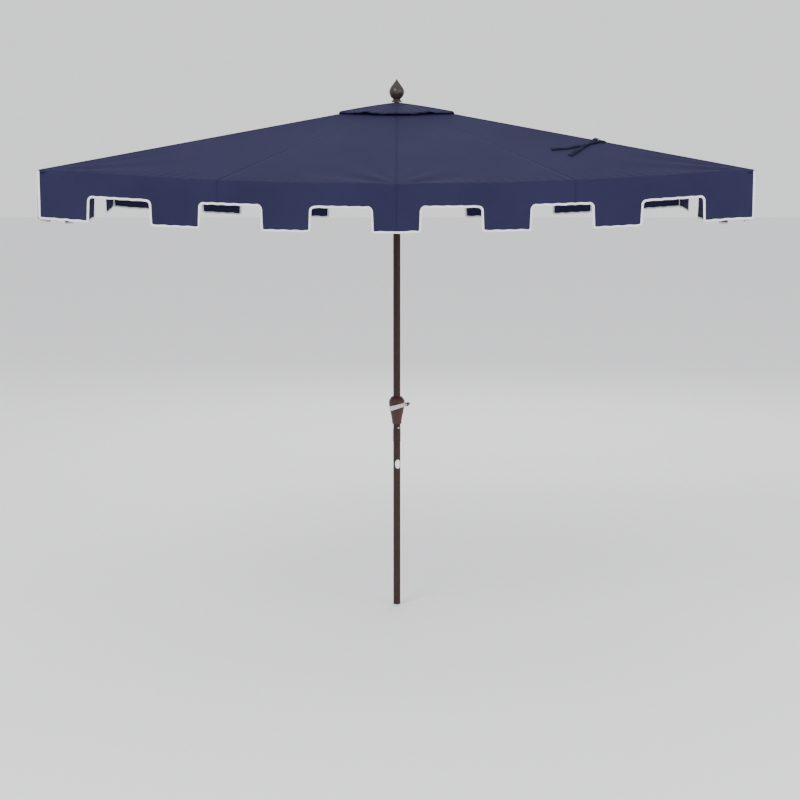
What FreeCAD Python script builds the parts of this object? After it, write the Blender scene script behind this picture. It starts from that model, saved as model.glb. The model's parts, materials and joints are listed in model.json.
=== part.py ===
"""Rectangular market umbrella with a crank, millimetres, +Z up.

The origin is the middle of the pole's foot. The canopy's long side runs along X and its
front faces -Y. Six ribs turn on a crown at the top of the pole, and six struts carry them
from a runner that slides on the pole. Every rib is drawn once in its own straight frame,
with the rib along +X and its hub pin at the origin, and is then laid in its place.
"""

import FreeCAD, Part
import os
from math import atan, atan2, cos, degrees, hypot, pi, radians, sin, sqrt

V = FreeCAD.Vector
X, Y, Z = V(1, 0, 0), V(0, 1, 0), V(0, 0, 1)
ORIGIN = V(0, 0, 0)

# ---------------------------------------------------------------- driving dimensions
canopy_length = 3050.0
canopy_width = 1980.0
corner_edge_z = 2137.0  # fabric at the four corners
mid_edge_z = 2075.0  # fabric at the tips of the two middle ribs
apex_z = 2447.0  # where the panels would meet if they had no vent
long_edge_sag = 14.0
short_edge_sag = 50.0
sheet_t = 1.5
sheet_gap = 1.0  # between neighbouring sheets

vent_length = 360.0
vent_width = 240.0
cap_length = 540.0
cap_width = 360.0
cap_apex_z = 2453.0
cap_corner_z = 2404.0
cap_side_z = 2400.0

valance_drop = 205.0
notch_depth = 105.0
long_tabs = 7
short_tabs = 4
tab_to_notch = 0.86  # width of a tab over the width of a notch

pole_d = 35.0
pole_wall = 1.5
pole_joint_z = 815.0
pole_top_z = 2410.0
spigot_length = 100.0
spigot_clearance = 0.2  # on the diameter
flare_length = 64.0
flare_d = pole_d + 2.4
flare_chamfer = 0.9
plug_height = 6.0
plug_round = 4.0  # height of the rounded edge under the foot
plug_insert = 26.0

button_z = pole_joint_z + 70.0
button_d = 9.0
button_proud = 4.5
button_angle = -66.0
button_travel = 5.0
button_clearance = 0.3
leaf_width = 7.0
leaf_t = 0.8

housing_bottom_z = 904.0
housing_top_z = 1040.0
housing_bottom_r = pole_d / 2 + 5.0
housing_r = 39.0
housing_wall = 2.5
housing_shoulder_z = 1012.0
crank_z = 990.0
crank_angle = -107.0  # plan direction of the crank's axis
boss_r = 13.0
boss_end = 52.0
shaft_d = 10.0
shaft_hole_gap = 1.0  # round the shaft in the pole's wall
running_fit = 0.05  # radial
spool_core_r = 8.0
spool_flange_r = 10.0
spool_length = 21.0
arm_length = 90.0
arm_rise = 18.0  # degrees above level at rest
arm_t = 7.0
arm_plane = 86.0  # middle of the arm from the pole's axis
arm_root_w = 22.0
arm_end_w = 15.0
knob_pin_d = 6.0
knob_r = 10.0
knob_length = 36.0
screw_d = 4.0

pivot_z = 2420.0
pivot_r = 38.0
hub_r = 46.0
hub_top_z = 2441.0
hub_bottom_z = 2398.0
skirt_r = pole_d / 2 + 5.5
skirt_length = 34.0
hinge_pin_d = 4.0
hinge_pin_length = 17.0
tongue_t = 6.0
tongue_gap = 0.4  # each side of a tongue in its slot
tongue_end_r = 7.5

pulley_z = 2378.0
pulley_r = 12.0
pulley_groove = 2.0
pulley_w = 7.0
pulley_offset = 7.0
pulley_pin_d = 5.0

rib_w = 14.0
rib_h = 20.0
rib_wall = 1.0
rib_round = 3.0
rib_tongue_length = 24.0
rib_end_gap = 24.0  # from a rib's end to the edge of the fabric, in plan
rib_under_fabric = rib_h / 2 + 2.0
rib_tip_head = 8.0
rib_tip_insert = 20.0
closed_angle = 88.1  # a closed rib below level

strut_w = 10.0
strut_h = 14.0
strut_wall = 1.0
strut_tongue_length = 30.0
bracket_length = 36.0
bracket_w = 20.0
bracket_drop = 22.0  # from a rib's middle line to its strut pin

runner_open_drop = 500.0  # runner pins below the hub pins, open and closed
runner_closed_drop = 1250.0
runner_bore_gap = 0.3
runner_sleeve_r = pole_d / 2 + 6.5
runner_disc_r = 45.0
runner_disc_t = 16.0
runner_sleeve_up = 20.0
runner_sleeve_down = 42.0
open_pivot_gap = 0.35  # radial, round the runner's pins

finial_base_z = 2455.5
finial_height = 108.0
finial_r = 36.0
finial_collar_r = 25.0
stud_d = 10.0

strap_width = 26.0
strap_length = 245.0
strap_t = 2.0
strap_along_hip = 0.60

# ---------------------------------------------------------------- worked-out values
pole_r = pole_d / 2
pole_bore_r = pole_r - pole_wall
half_length = canopy_length / 2
half_width = canopy_width / 2
hang_gap = 2 * sheet_gap
edge_x = half_length - sheet_t - sheet_gap
edge_y = half_width - sheet_t - sheet_gap
diagonal = hypot(edge_x, edge_y)
corner_plan = degrees(atan2(edge_y, edge_x))
RIBS = [
    ("front_left", 180 + corner_plan),
    ("front_mid", 270.0),
    ("front_right", 360 - corner_plan),
    ("rear_right", corner_plan),
    ("rear_mid", 90.0),
    ("rear_left", 180 - corner_plan),
]


def slope(edge_run, edge_height):
    """Angle of a rib below level when the canopy is open, in degrees."""
    return degrees(atan((pivot_z + rib_under_fabric - edge_height) / (edge_run - pivot_r)))


def rib_sizes(name):
    """Open slope, length, place of the strut bracket and strut length of one rib."""
    middle = name.endswith("mid")
    run = edge_y if middle else diagonal
    height = mid_edge_z if middle else corner_edge_z
    tilt = slope(run, height)
    length = (run - rib_end_gap - pivot_r) / cos(radians(tilt))
    so, co = sin(radians(tilt)), cos(radians(tilt))
    sc, cc = sin(radians(closed_angle)), cos(radians(closed_angle))
    up, down, h = runner_open_drop, runner_closed_drop, bracket_drop
    # the one place along the rib where a strut of one length reaches the runner at both ends
    along = (down**2 - up**2 - 2 * h * (down * cc - up * co)) / (2 * (down * sc - up * so))
    strut = sqrt(along**2 + h**2 + up**2 - 2 * up * (along * so + h * co))
    return tilt, length, along, strut


def bracket_point(tilt, along):
    """Radius and height of a strut pin on a rib that slopes by tilt degrees."""
    s, c = sin(radians(tilt)), cos(radians(tilt))
    r = pivot_r + along * c - bracket_drop * s
    return r, pivot_z - along * s - bracket_drop * c


def strut_angle(tilt, along, drop):
    """Turn about +Y that lays a strut from its bracket to the runner, in degrees."""
    r, z = bracket_point(tilt, along)
    return degrees(atan2(z - (pivot_z - drop), pivot_r - r))


# ---------------------------------------------------------------- small helpers
def box(x0, x1, y0, y1, z0, z1):
    return Part.makeBox(x1 - x0, y1 - y0, z1 - z0, V(x0, y0, z0))


def rod(r, length, at, along):
    return Part.makeCylinder(r, length, at, along)


def tube(r_out, r_in, z0, z1):
    return rod(r_out, z1 - z0, V(0, 0, z0), Z).cut(rod(r_in, z1 - z0, V(0, 0, z0), Z))


def turned(outline):
    """A solid of revolution about Z from (radius, height) corners."""
    wire = Part.makePolygon([V(r, 0, z) for r, z in outline + outline[:1]])
    return Part.Face(wire).revolve(ORIGIN, Z, 360)


def prism(points, along):
    """A flat outline pushed along a vector."""
    return Part.Face(Part.makePolygon(points + points[:1])).extrude(along)


def one(shape):
    """A fused shape with its needless seams taken out, as a single solid."""
    return shape.removeSplitter().Solids[0]


def laid(shape, tilt, at_r, at_z, turn):
    """A copy turned down about Y, moved to a radius and height, then turned about Z."""
    new = shape.copy()
    new.rotate(ORIGIN, Y, tilt)
    new.translate(V(at_r, 0, at_z))
    new.rotate(ORIGIN, Z, turn)
    return new


def faced(shape, angle, z):
    """A copy drawn with its axis along +X at height 0, turned to face a plan direction."""
    new = shape.copy()
    new.rotate(ORIGIN, Z, angle)
    new.translate(V(0, 0, z))
    return new


def round_bar(x0, x1, w, h, corner):
    """A bar along X with rounded long edges."""
    bar = box(x0, x1, -w / 2, w / 2, -h / 2, h / 2)
    long_edges = [e for e in bar.Edges if abs(e.Length - (x1 - x0)) < 1e-6]
    return bar.makeFillet(corner, long_edges)


def tongue(x0, x1, half_height, hole_r, at=0.0):
    """A flat end in the XZ plane, round at the pin's place and drilled for it."""
    blade = box(x0, x1, -tongue_t / 2, tongue_t / 2, -half_height, half_height)
    end = rod(half_height, tongue_t, V(at, -tongue_t / 2, 0), Y)
    hole = rod(hole_r, 2 * tongue_t, V(at, -tongue_t, 0), Y)
    return one(blade.fuse(end).cut(hole))


nodes = {}


# ---------------------------------------------------------------- pole
def make_pole():
    spigot_r = pole_bore_r - spigot_clearance / 2
    spigot_top = pole_joint_z + spigot_length
    lower = tube(pole_r, pole_bore_r - pole_wall, plug_height, pole_joint_z)
    lower = lower.fuse(tube(spigot_r, spigot_r - pole_wall, pole_joint_z - 20, spigot_top))
    upper = tube(pole_r, pole_bore_r, pole_joint_z, pole_top_z)
    upper = upper.fuse(tube(flare_d / 2, pole_bore_r, pole_joint_z, pole_joint_z + flare_length))
    edge = [e for e in upper.Edges if is_ring(e, flare_d / 2)]
    upper = upper.makeChamfer(flare_chamfer, edge)
    button_hole = faced(rod(button_d / 2 + button_clearance, pole_d, ORIGIN, X), button_angle, button_z)
    drill = rod(shaft_d / 2 + shaft_hole_gap, 2 * pole_d, V(-pole_d, 0, 0), X)
    shaft_hole = faced(drill, crank_angle, crank_z)
    slot_w = pulley_w / 2 + 2
    slot = box(pulley_offset, pole_d, -slot_w, slot_w, pulley_z - pulley_r - 4, pulley_z + pulley_r + 4)
    pin_hole = rod(pulley_pin_d / 2, 2 * pole_d, V(pulley_offset, -pole_d, pulley_z), Y)
    nodes["lower_pole"] = one(lower.cut(button_hole))
    nodes["upper_pole"] = one(upper.cut(Part.makeCompound([button_hole, shaft_hole, slot, pin_hole])))
    insert_r = pole_bore_r - pole_wall
    nodes["foot_plug"] = turned([
        (0, 0), (pole_r - 5, 0), (pole_r - 1.5, 1.5), (pole_r, plug_round), (pole_r, plug_height),
        (insert_r, plug_height), (insert_r - 0.6, plug_height + plug_insert),
        (insert_r - 3, plug_height + plug_insert), (insert_r - 3, plug_height), (0, plug_height),
    ])


def is_ring(edge, r):
    """True for a full circle of radius r about the pole's axis."""
    curve = edge.Curve
    return isinstance(curve, Part.Circle) and abs(curve.Radius - r) < 1e-6


def make_snap_button():
    """The button's head in the two holes, and the bent leaf behind it."""
    inner_r = pole_bore_r - spigot_clearance / 2 - pole_wall
    tip = pole_r + (flare_d - pole_d) / 2 + button_proud
    flange_r = button_d / 2 + 1.5
    back = sqrt(inner_r**2 - flange_r**2) - button_clearance
    head = rod(button_d / 2, tip - back, V(back, 0, 0), X)
    head = head.makeFillet(2.0, [e for e in head.Edges if e.BoundBox.XMin > tip - 0.01])
    flange = rod(flange_r, 1.0, V(back - 1.0, 0, 0), X)
    nodes["snap_button"] = faced(one(head.fuse(flange)), button_angle, button_z)
    front = back - 1.0
    rear = -(inner_r - 0.6)
    w = leaf_width / 2
    low = -28.0
    outline = [
        V(front, -w, 12), V(front, -w, -6), V(rear + leaf_t, -w, low - 4),
        V(rear, -w, low - 4), V(rear, -w, 10),
        V(rear + leaf_t, -w, 10), V(rear + leaf_t, -w, low), V(front - leaf_t, -w, -6 - leaf_t),
        V(front - leaf_t, -w, 12),
    ]
    leaf = prism(outline, Y * leaf_width)
    nodes["button_spring"] = faced(leaf, button_angle, button_z)


# ---------------------------------------------------------------- crank
def housing_profile(inset):
    """The turned outline of the housing, moved in by a wall's thickness."""
    r0, r1, neck = housing_bottom_r - inset, housing_r - inset, pole_r + 3
    top, bottom = housing_top_z - inset, housing_bottom_z + (inset if inset else 0)
    return [
        (0, bottom), (r0, bottom), (r0 + 2, bottom + 22), (r1 - 1, housing_shoulder_z - 16),
        (r1, housing_shoulder_z - 4), (r1 - 1, housing_shoulder_z + 6), (r1 - 6, top - 12),
        (neck + 6, top - 3), (neck - (0 if not inset else 1), top), (0, top),
    ]


def make_housing():
    outer = turned(housing_profile(0.0))
    inner = turned(housing_profile(housing_wall))
    boss = faced(rod(boss_r, boss_end, ORIGIN, X), crank_angle, crank_z)
    bore = faced(rod(shaft_d / 2 + running_fit, 2 * boss_end, V(-boss_end, 0, 0), X), crank_angle, crank_z)
    pole_hole = rod(pole_r, 400, V(0, 0, housing_bottom_z - 50), Z)
    shell = outer.cut(inner)
    collar_length = housing_top_z - housing_bottom_z - 2
    collar = rod(pole_r + housing_wall, collar_length, V(0, 0, housing_bottom_z + 1), Z)
    shell = shell.fuse(collar.common(outer)).fuse(boss).cut(bore).cut(pole_hole)
    posts = []
    for side in (-1, 1):
        for dz in (-34, 26):
            at = V(-20, side * (pole_r + 7), crank_z + dz)
            posts.append((at, faced(rod(4.2, 40, at - Z * crank_z, X), crank_angle, crank_z)))
    for _, post in posts:
        shell = shell.fuse(post.common(outer))
    shell = shell.cut(pole_hole)
    holes, screws = [], []
    for at, _ in posts:
        local = at - Z * crank_z
        shank = rod(screw_d / 2, 27, V(-21, local.y, local.z), X)
        head = rod(screw_d, 24, V(-45, local.y, local.z), X)
        holes.append(faced(shank.fuse(head), crank_angle, crank_z))
        cap = rod(screw_d - 0.3, 3, V(-24, local.y, local.z), X)
        screws.append(faced(one(shank.fuse(cap)), crank_angle, crank_z))
    shell = shell.cut(Part.makeCompound(holes))
    half = faced(box(0, 90, -90, 90, -200, 200), crank_angle, crank_z)
    nodes["crank_housing_front"] = max(shell.common(half).Solids, key=lambda s: s.Volume)
    nodes["crank_housing_rear"] = max(shell.cut(half).Solids, key=lambda s: s.Volume)
    nodes["housing_screws"] = Part.makeCompound(screws)


def make_crank():
    """The shaft with the spool turned on it, then the arm and knob, all facing the crank's way."""
    shaft_end = arm_plane + arm_t / 2 + 1.5
    shaft = rod(shaft_d / 2, shaft_end + pole_r + 9, V(-pole_r - 9, 0, 0), X)
    half = spool_length / 2
    flange = spool_flange_r - spool_core_r
    spool = Part.Face(Part.makePolygon([
        V(-half, 0, 0), V(-half, 0, spool_flange_r), V(1.5 - half, 0, spool_flange_r),
        V(1.5 + flange / 2 - half, 0, spool_core_r), V(half - 1.5 - flange / 2, 0, spool_core_r),
        V(half - 1.5, 0, spool_flange_r), V(half, 0, spool_flange_r), V(half, 0, 0), V(-half, 0, 0),
    ])).revolve(ORIGIN, X, 360)
    nodes["crank_shaft"] = faced(one(shaft.fuse(spool)), crank_angle, crank_z)
    make_arm(shaft)


def make_arm(shaft):
    """The lever with the spindle riveted in its end, and its free-turning knob."""
    inner, outer = arm_plane - arm_t / 2, arm_plane + arm_t / 2
    root, end = arm_root_w / 2, arm_end_w / 2
    blade = prism([
        V(inner, 0, root), V(inner, arm_length, end), V(inner, arm_length, -end), V(inner, 0, -root),
    ], X * arm_t)
    blade = blade.fuse(rod(root, arm_t, V(inner, 0, 0), X))
    blade = blade.fuse(rod(end, arm_t, V(inner, arm_length, 0), X))
    hub_x = boss_end + 2.5
    sleeve = Part.makeCone(root - 1.5, root, inner - hub_x, V(hub_x, 0, 0), X)
    arm = one(blade.fuse(sleeve).cut(shaft))
    rims = [e for e in arm.Edges if e.BoundBox.XMin > outer - 0.01 and e.BoundBox.ZLength > 2]
    rims = [e for e in rims if not (is_ring_any(e) and abs(e.Curve.Radius - shaft_d / 2) < 0.01)]
    arm = arm.makeFillet(1.5, rims)
    pin_at = V(inner + 0.5, arm_length, 0)
    pin_length = outer - inner + knob_length + 1.0
    pin = rod(knob_pin_d / 2, pin_length, pin_at, X)
    pin = pin.fuse(rod(knob_pin_d / 2 + 2, 1.5, pin_at + X * (pin_length - 0.2), X))
    knob_x = outer + 0.5
    knob = turned([
        (0, 0), (knob_r - 3, 0), (knob_r - 1.2, 3), (knob_r - 1.8, knob_length * 0.4),
        (knob_r, knob_length * 0.75), (knob_r - 0.8, knob_length * 0.92), (knob_r - 3.5, knob_length - 0.6),
        (0, knob_length - 0.6),
    ])
    knob.rotate(ORIGIN, Y, 90)
    knob.translate(V(knob_x, arm_length, 0))
    knob = knob.cut(rod(knob_pin_d / 2 + running_fit, 2 * knob_length, pin_at, X))
    for name, shape in (("crank_arm", one(arm.fuse(pin))), ("crank_knob", knob)):
        shape = shape.copy()
        shape.rotate(ORIGIN, X, arm_rise)
        nodes[name] = faced(shape, crank_angle, crank_z)


def is_ring_any(edge):
    return isinstance(edge.Curve, Part.Circle)


# ---------------------------------------------------------------- crown and runner
def six_slots(r0, r1, z0, z1):
    """Radial slots for the tongues of all six ribs or struts."""
    w = tongue_t / 2 + tongue_gap
    slot = box(r0, r1, -w, w, z0, z1)
    cuts = []
    for _, turn in RIBS:
        one_slot = slot.copy()
        one_slot.rotate(ORIGIN, Z, turn)
        cuts.append(one_slot)
    return Part.makeCompound(cuts)


def six_pins(z, radius):
    pins = []
    for _, turn in RIBS:
        pin = rod(radius, hinge_pin_length, V(pivot_r, -hinge_pin_length / 2, z), Y)
        pin.rotate(ORIGIN, Z, turn)
        pins.append(pin)
    return Part.makeCompound(pins)


def make_crown():
    body = turned([
        (0, hub_bottom_z - skirt_length), (skirt_r, hub_bottom_z - skirt_length), (skirt_r, hub_bottom_z),
        (hub_r - 2, hub_bottom_z), (hub_r, hub_bottom_z + 2), (hub_r, hub_top_z - 9),
        (hub_r - 8, hub_top_z), (0, hub_top_z),
    ])
    skirt_end = V(0, 0, hub_bottom_z - skirt_length)
    body = body.cut(rod(pole_r, pole_top_z - skirt_end.z, skirt_end, Z))
    body = body.cut(six_slots(pivot_r - tongue_end_r - 1.5, hub_r + 5, hub_bottom_z - 1, pivot_z + 12))
    body = body.cut(six_pins(pivot_z, hinge_pin_d / 2))
    slot_w = pulley_w / 2 + 2
    slot_top = pulley_z + pulley_r + 4
    slot = box(pulley_offset, skirt_r + 5, -slot_w, slot_w, skirt_end.z - 1, slot_top)
    body = body.cut(slot)
    body = body.cut(rod(pulley_pin_d / 2, 2 * skirt_r, V(pulley_offset, -skirt_r, pulley_z), Y))
    stud_depth = hub_top_z - pole_top_z - 4
    stud = rod(stud_d / 2, stud_depth + finial_base_z - hub_top_z + 40, V(0, 0, hub_top_z - stud_depth), Z)
    nodes["crown_hub"] = one(body.cut(stud))
    nodes["hub_pins"] = six_pins(pivot_z, hinge_pin_d / 2)
    pulley = turned([
        (0, 0), (pulley_r, 0), (pulley_r - pulley_groove, pulley_w / 2), (pulley_r, pulley_w), (0, pulley_w),
    ])
    pulley.rotate(ORIGIN, X, 90)
    pulley.translate(V(pulley_offset, pulley_w / 2, pulley_z))
    pin_half = sqrt(skirt_r**2 - pulley_offset**2) - 0.5
    pin = rod(pulley_pin_d / 2, 2 * pin_half, V(pulley_offset, -pin_half, pulley_z), Y)
    bore = rod(pulley_pin_d / 2 + running_fit, 2 * pulley_w, V(pulley_offset, -pulley_w, pulley_z), Y)
    nodes["cord_pulley"] = pulley.cut(bore)
    nodes["pulley_pin"] = pin
    nodes["finial_stud"] = stud
    h, b = finial_height, finial_base_z
    outline = Part.BSplineCurve()
    outline.interpolate([
        V(finial_collar_r - 9, 0, b + 0.13 * h), V(finial_r * 0.80, 0, b + 0.24 * h),
        V(finial_r, 0, b + 0.45 * h),
        V(finial_r * 0.74, 0, b + 0.68 * h), V(finial_r * 0.27, 0, b + 0.88 * h), V(1.5, 0, b + h),
    ])
    edges = [
        Part.LineSegment(V(0, 0, b), V(finial_collar_r, 0, b)).toShape(),
        Part.LineSegment(V(finial_collar_r, 0, b), V(finial_collar_r, 0, b + 0.05 * h)).toShape(),
        Part.LineSegment(V(finial_collar_r, 0, b + 0.05 * h), V(finial_collar_r - 9, 0, b + 0.13 * h)).toShape(),
        outline.toShape(),
        Part.LineSegment(V(1.5, 0, b + h), V(0, 0, b + h)).toShape(),
        Part.LineSegment(V(0, 0, b + h), V(0, 0, b)).toShape(),
    ]
    nodes["finial"] = Part.Face(Part.Wire(edges)).revolve(ORIGIN, Z, 360).cut(stud)


def make_runner():
    z = pivot_z - runner_open_drop
    half = runner_disc_t / 2
    body = turned([
        (0, z - runner_sleeve_down), (runner_sleeve_r - 2, z - runner_sleeve_down),
        (runner_sleeve_r, z - runner_sleeve_down + 2), (runner_sleeve_r, z - half - 3), (runner_disc_r - 2, z - half),
        (runner_disc_r, z - half + 2), (runner_disc_r, z + half - 2), (runner_disc_r - 2, z + half),
        (runner_sleeve_r, z + half), (runner_sleeve_r, z + runner_sleeve_up - 2),
        (runner_sleeve_r - 2, z + runner_sleeve_up), (0, z + runner_sleeve_up),
    ])
    body = body.cut(rod(pole_r + runner_bore_gap, 200, V(0, 0, z - 100), Z))
    body = body.cut(six_slots(pivot_r - tongue_end_r - 2, runner_disc_r + 5, z - 2 * half, z + 2 * half))
    nodes["runner"] = one(body.cut(six_pins(z, hinge_pin_d / 2)))
    nodes["runner_pins"] = six_pins(z, hinge_pin_d / 2)


# ---------------------------------------------------------------- ribs and struts
def make_rib(name, turn):
    tilt, length, along, strut_length = rib_sizes(name)
    tube_end = length - rib_tip_head
    bar = round_bar(rib_tongue_length, tube_end, rib_w, rib_h, rib_round)
    bore = box(rib_tongue_length + 6, tube_end + 1, rib_wall - rib_w / 2, rib_w / 2 - rib_wall,
               rib_wall - rib_h / 2, rib_h / 2 - rib_wall)
    flat = tongue(0, rib_tongue_length + 8, tongue_end_r, hinge_pin_d / 2 + running_fit)
    rib = one(bar.cut(bore).fuse(flat))
    tip = round_bar(tube_end, length, rib_w, rib_h, rib_round)
    insert = box(tube_end - rib_tip_insert, tube_end, 1.4 * rib_wall - rib_w / 2, rib_w / 2 - 1.4 * rib_wall,
                 1.4 * rib_wall - rib_h / 2, rib_h / 2 - 1.4 * rib_wall)
    half = bracket_length / 2
    ear = tongue_end_r
    saddle = box(along - half, along + half, -bracket_w / 2, bracket_w / 2, -rib_h / 2 - 3, rib_h / 2 - 2.5)
    ears = box(along - ear, along + ear, -bracket_w / 2, bracket_w / 2, -bracket_drop, -rib_h / 2)
    ears = ears.fuse(rod(ear, bracket_w, V(along, -bracket_w / 2, -bracket_drop), Y))
    gap = tongue_t / 2 + tongue_gap
    reach = tongue_end_r + 0.6
    slot = box(along - 2 * half, along + 2 * half, -gap, gap, -bracket_drop - 2 * ear, -bracket_drop + reach)
    rivet = rod(hinge_pin_d / 2, bracket_w, V(along, -bracket_w / 2, -bracket_drop), Y)
    saddle = saddle.cut(box(along - 2 * half, along + 2 * half, -rib_w / 2, rib_w / 2, -rib_h / 2, rib_h))
    bracket = one(saddle.fuse(ears.cut(slot)).cut(rivet))
    nodes["rib_" + name] = laid(rib, tilt, pivot_r, pivot_z, turn)
    nodes["rib_tip_" + name] = laid(one(tip.fuse(insert)), tilt, pivot_r, pivot_z, turn)
    nodes["rib_bracket_" + name] = laid(Part.makeCompound([bracket, rivet]), tilt, pivot_r, pivot_z, turn)
    bar = round_bar(strut_tongue_length, strut_length - strut_tongue_length, strut_w, strut_h, 2.5)
    bore = box(strut_tongue_length + 6, strut_length - strut_tongue_length - 6, strut_wall - strut_w / 2,
               strut_w / 2 - strut_wall, strut_wall - strut_h / 2, strut_h / 2 - strut_wall)
    end_r = tongue_end_r - 0.8
    top = tongue(0, strut_tongue_length + 7, end_r, hinge_pin_d / 2 + running_fit)
    foot = tongue(strut_length - strut_tongue_length - 7, strut_length, end_r,
                  hinge_pin_d / 2 + open_pivot_gap, strut_length)
    strut = one(bar.cut(bore).fuse(top).fuse(foot))
    at_r, at_z = bracket_point(tilt, along)
    nodes["strut_" + name] = laid(strut, strut_angle(tilt, along, runner_open_drop), at_r, at_z, turn)


# ---------------------------------------------------------------- canopy
def edge_ring():
    """Twelve points round the canopy's edge: each rib's tip, then the seam after it."""
    x, y = edge_x, edge_y
    seam_z = (corner_edge_z + mid_edge_z) / 2 - long_edge_sag
    side_z = corner_edge_z - short_edge_sag
    half_ring = [
        V(-x, -y, corner_edge_z), V(-x / 2, -y, seam_z), V(0, -y, mid_edge_z), V(x / 2, -y, seam_z),
        V(x, -y, corner_edge_z), V(x, 0, side_z),
    ]
    return half_ring + [V(-p.x, -p.y, p.z) for p in half_ring]


def cap_ring():
    """The same twelve places round the vent cap, which is lifted off the panels."""
    x, y = cap_length / 2, cap_width / 2
    seam_x = x / 2 * (y / x) / (edge_y / edge_x)
    half_ring = [
        V(-x, -y, cap_corner_z), V(-seam_x, -y, cap_side_z),
        V(0, -y, cap_side_z), V(seam_x, -y, cap_side_z),
        V(x, -y, cap_corner_z), V(x, 0, cap_side_z),
    ]
    return half_ring + [V(-p.x, -p.y, p.z) for p in half_ring]


def sector(ring, index, top_z):
    """Two flat panels that meet along one rib, held apart from their neighbours."""
    before, tip, after = ring[2 * index - 1], ring[2 * index], ring[2 * index + 1]
    apex = V(tip.x, tip.y, 0).normalize() * hang_gap + Z * top_z
    sides = []
    for point in (before, after):
        inward = (tip - point).normalize()
        sides.append(prism([apex, point + inward * sheet_gap, tip], Z * sheet_t))
    return one(sides[0].fuse(sides[1]))


def make_panels():
    ring, caps = edge_ring(), cap_ring()
    vent = box(-vent_length / 2, vent_length / 2, -vent_width / 2, vent_width / 2, 0, 2 * apex_z)
    stud_hole = rod(stud_d / 2 + hang_gap, 2 * apex_z, ORIGIN, Z)
    for index, (name, _) in enumerate(RIBS):
        panel = sector(ring, index, apex_z).cut(vent).Solids[0]
        cap = sector(caps, index, cap_apex_z).cut(stud_hole).Solids[0]
        nodes["canopy_" + name] = Part.makeCompound([panel, cap])


def notched(start, end, tabs, first_notch_share, height):
    """The hanging outline from start to end as (distance, height) corners.

    tabs is how many tabs lie between the two places. first_notch_share is the part of a
    notch that the outline starts with: 0 starts on a tab, 0.5 in the middle of a notch.
    """
    notches = tabs - 1 + first_notch_share
    notch = (end - start) / (tabs * tab_to_notch + notches)
    tab = notch * tab_to_notch
    at = start + first_notch_share * notch
    corners = []
    if first_notch_share:
        corners += [(start, height(start) - valance_drop + notch_depth)]
        corners += [(at, height(at) - valance_drop + notch_depth)]
    for number in range(tabs):
        corners += [(at, height(at) - valance_drop), (at + tab, height(at + tab) - valance_drop)]
        at += tab
        if number < tabs - 1:
            corners += [(at, height(at) - valance_drop + notch_depth)]
            corners += [(at + notch, height(at + notch) - valance_drop + notch_depth)]
            at += notch
    return corners


def long_edge_height(x):
    return mid_edge_z + (corner_edge_z - mid_edge_z) * abs(x) / half_length


def short_edge_height(y):
    return corner_edge_z - short_edge_sag * (1 - abs(y) / half_width)


def make_valances():
    """The hanging border, parted at the seams so that each rib carries what is sewn to its panels."""
    inner_x = half_length - sheet_t
    end = half_length - hang_gap
    low = notched(-end, end, long_tabs, 0.0, long_edge_height)
    top = [(end, long_edge_height(end)), (0.0, long_edge_height(0)), (-end, long_edge_height(-end))]
    border = prism([V(x, -half_width, z) for x, z in low + top], Y * sheet_t)
    seam, gap = edge_x / 2, sheet_gap / 2
    spans = {
        "left_long": (-end, -seam - gap),
        "mid": (gap - seam, seam - gap),
        "right_long": (seam + gap, end),
    }
    for part, (x0, x1) in spans.items():
        piece = border.common(box(x0, x1, -half_width, half_width, 0, apex_z)).Solids[0]
        nodes["valance_front_" + part] = piece
        nodes["valance_rear_" + part] = piece.mirror(ORIGIN, Y)
    near, far = sheet_gap, half_width - hang_gap
    low = notched(near, far, short_tabs // 2, 0.5, short_edge_height)
    top = [(far, short_edge_height(far)), (near, short_edge_height(near))]
    quarter = prism([V(inner_x, y, z) for y, z in low + top], X * sheet_t)
    nodes["valance_rear_right_short"] = quarter
    nodes["valance_front_right_short"] = quarter.mirror(ORIGIN, Y)
    nodes["valance_rear_left_short"] = quarter.mirror(ORIGIN, X)
    nodes["valance_front_left_short"] = quarter.mirror(ORIGIN, Y).mirror(ORIGIN, X)


def make_strap():
    """The closing strap, sewn across the front right hip and lying on the front panel."""
    ring = edge_ring()
    corner, seam = ring[4], ring[3]
    apex = V(0, 0, apex_z)
    hip = apex + (corner - apex) * strap_along_hip
    normal = (corner - apex).cross(seam - apex).normalize()
    if normal.z < 0:
        normal = normal * -1
    away = (seam - corner).normalize()
    side = away.cross(normal).normalize()
    lift = normal * (sheet_t + 1.5)
    start = hip + away * 4 + lift
    corners = [start + side * (strap_width / 2), start - side * (strap_width / 2)]
    corners += [p + away * strap_length for p in reversed(corners)]
    nodes["tie_strap"] = prism(corners, normal * strap_t)


make_pole()
make_snap_button()
make_housing()
make_crank()
make_crown()
make_runner()
for rib_name, rib_turn in RIBS:
    make_rib(rib_name, rib_turn)
make_panels()
make_valances()
make_strap()

os.makedirs("parts", exist_ok=True)
for node_name, node_shape in nodes.items():
    node_shape.exportStep("parts/%s.step" % node_name)

travel = runner_closed_drop - runner_open_drop
crank_turns = round(travel / (2 * pi * spool_core_r), 2)
print("nodes", len(nodes), "runner travel", travel, "crank turns", crank_turns)
for rib_name, rib_turn in RIBS:
    rib_tilt, rib_length, rib_along, rib_strut = rib_sizes(rib_name)
    open_turn = strut_angle(rib_tilt, rib_along, runner_open_drop)
    closed_turn = strut_angle(closed_angle, rib_along, runner_closed_drop)
    swing = closed_angle - rib_tilt
    print(rib_name, "plan %.3f open %.3f length %.1f bracket %.2f strut %.2f" % (
        rib_turn, rib_tilt, rib_length, rib_along, rib_strut), "rib %.4f strut %.4f" % (
        swing, open_turn - closed_turn + swing))
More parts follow.
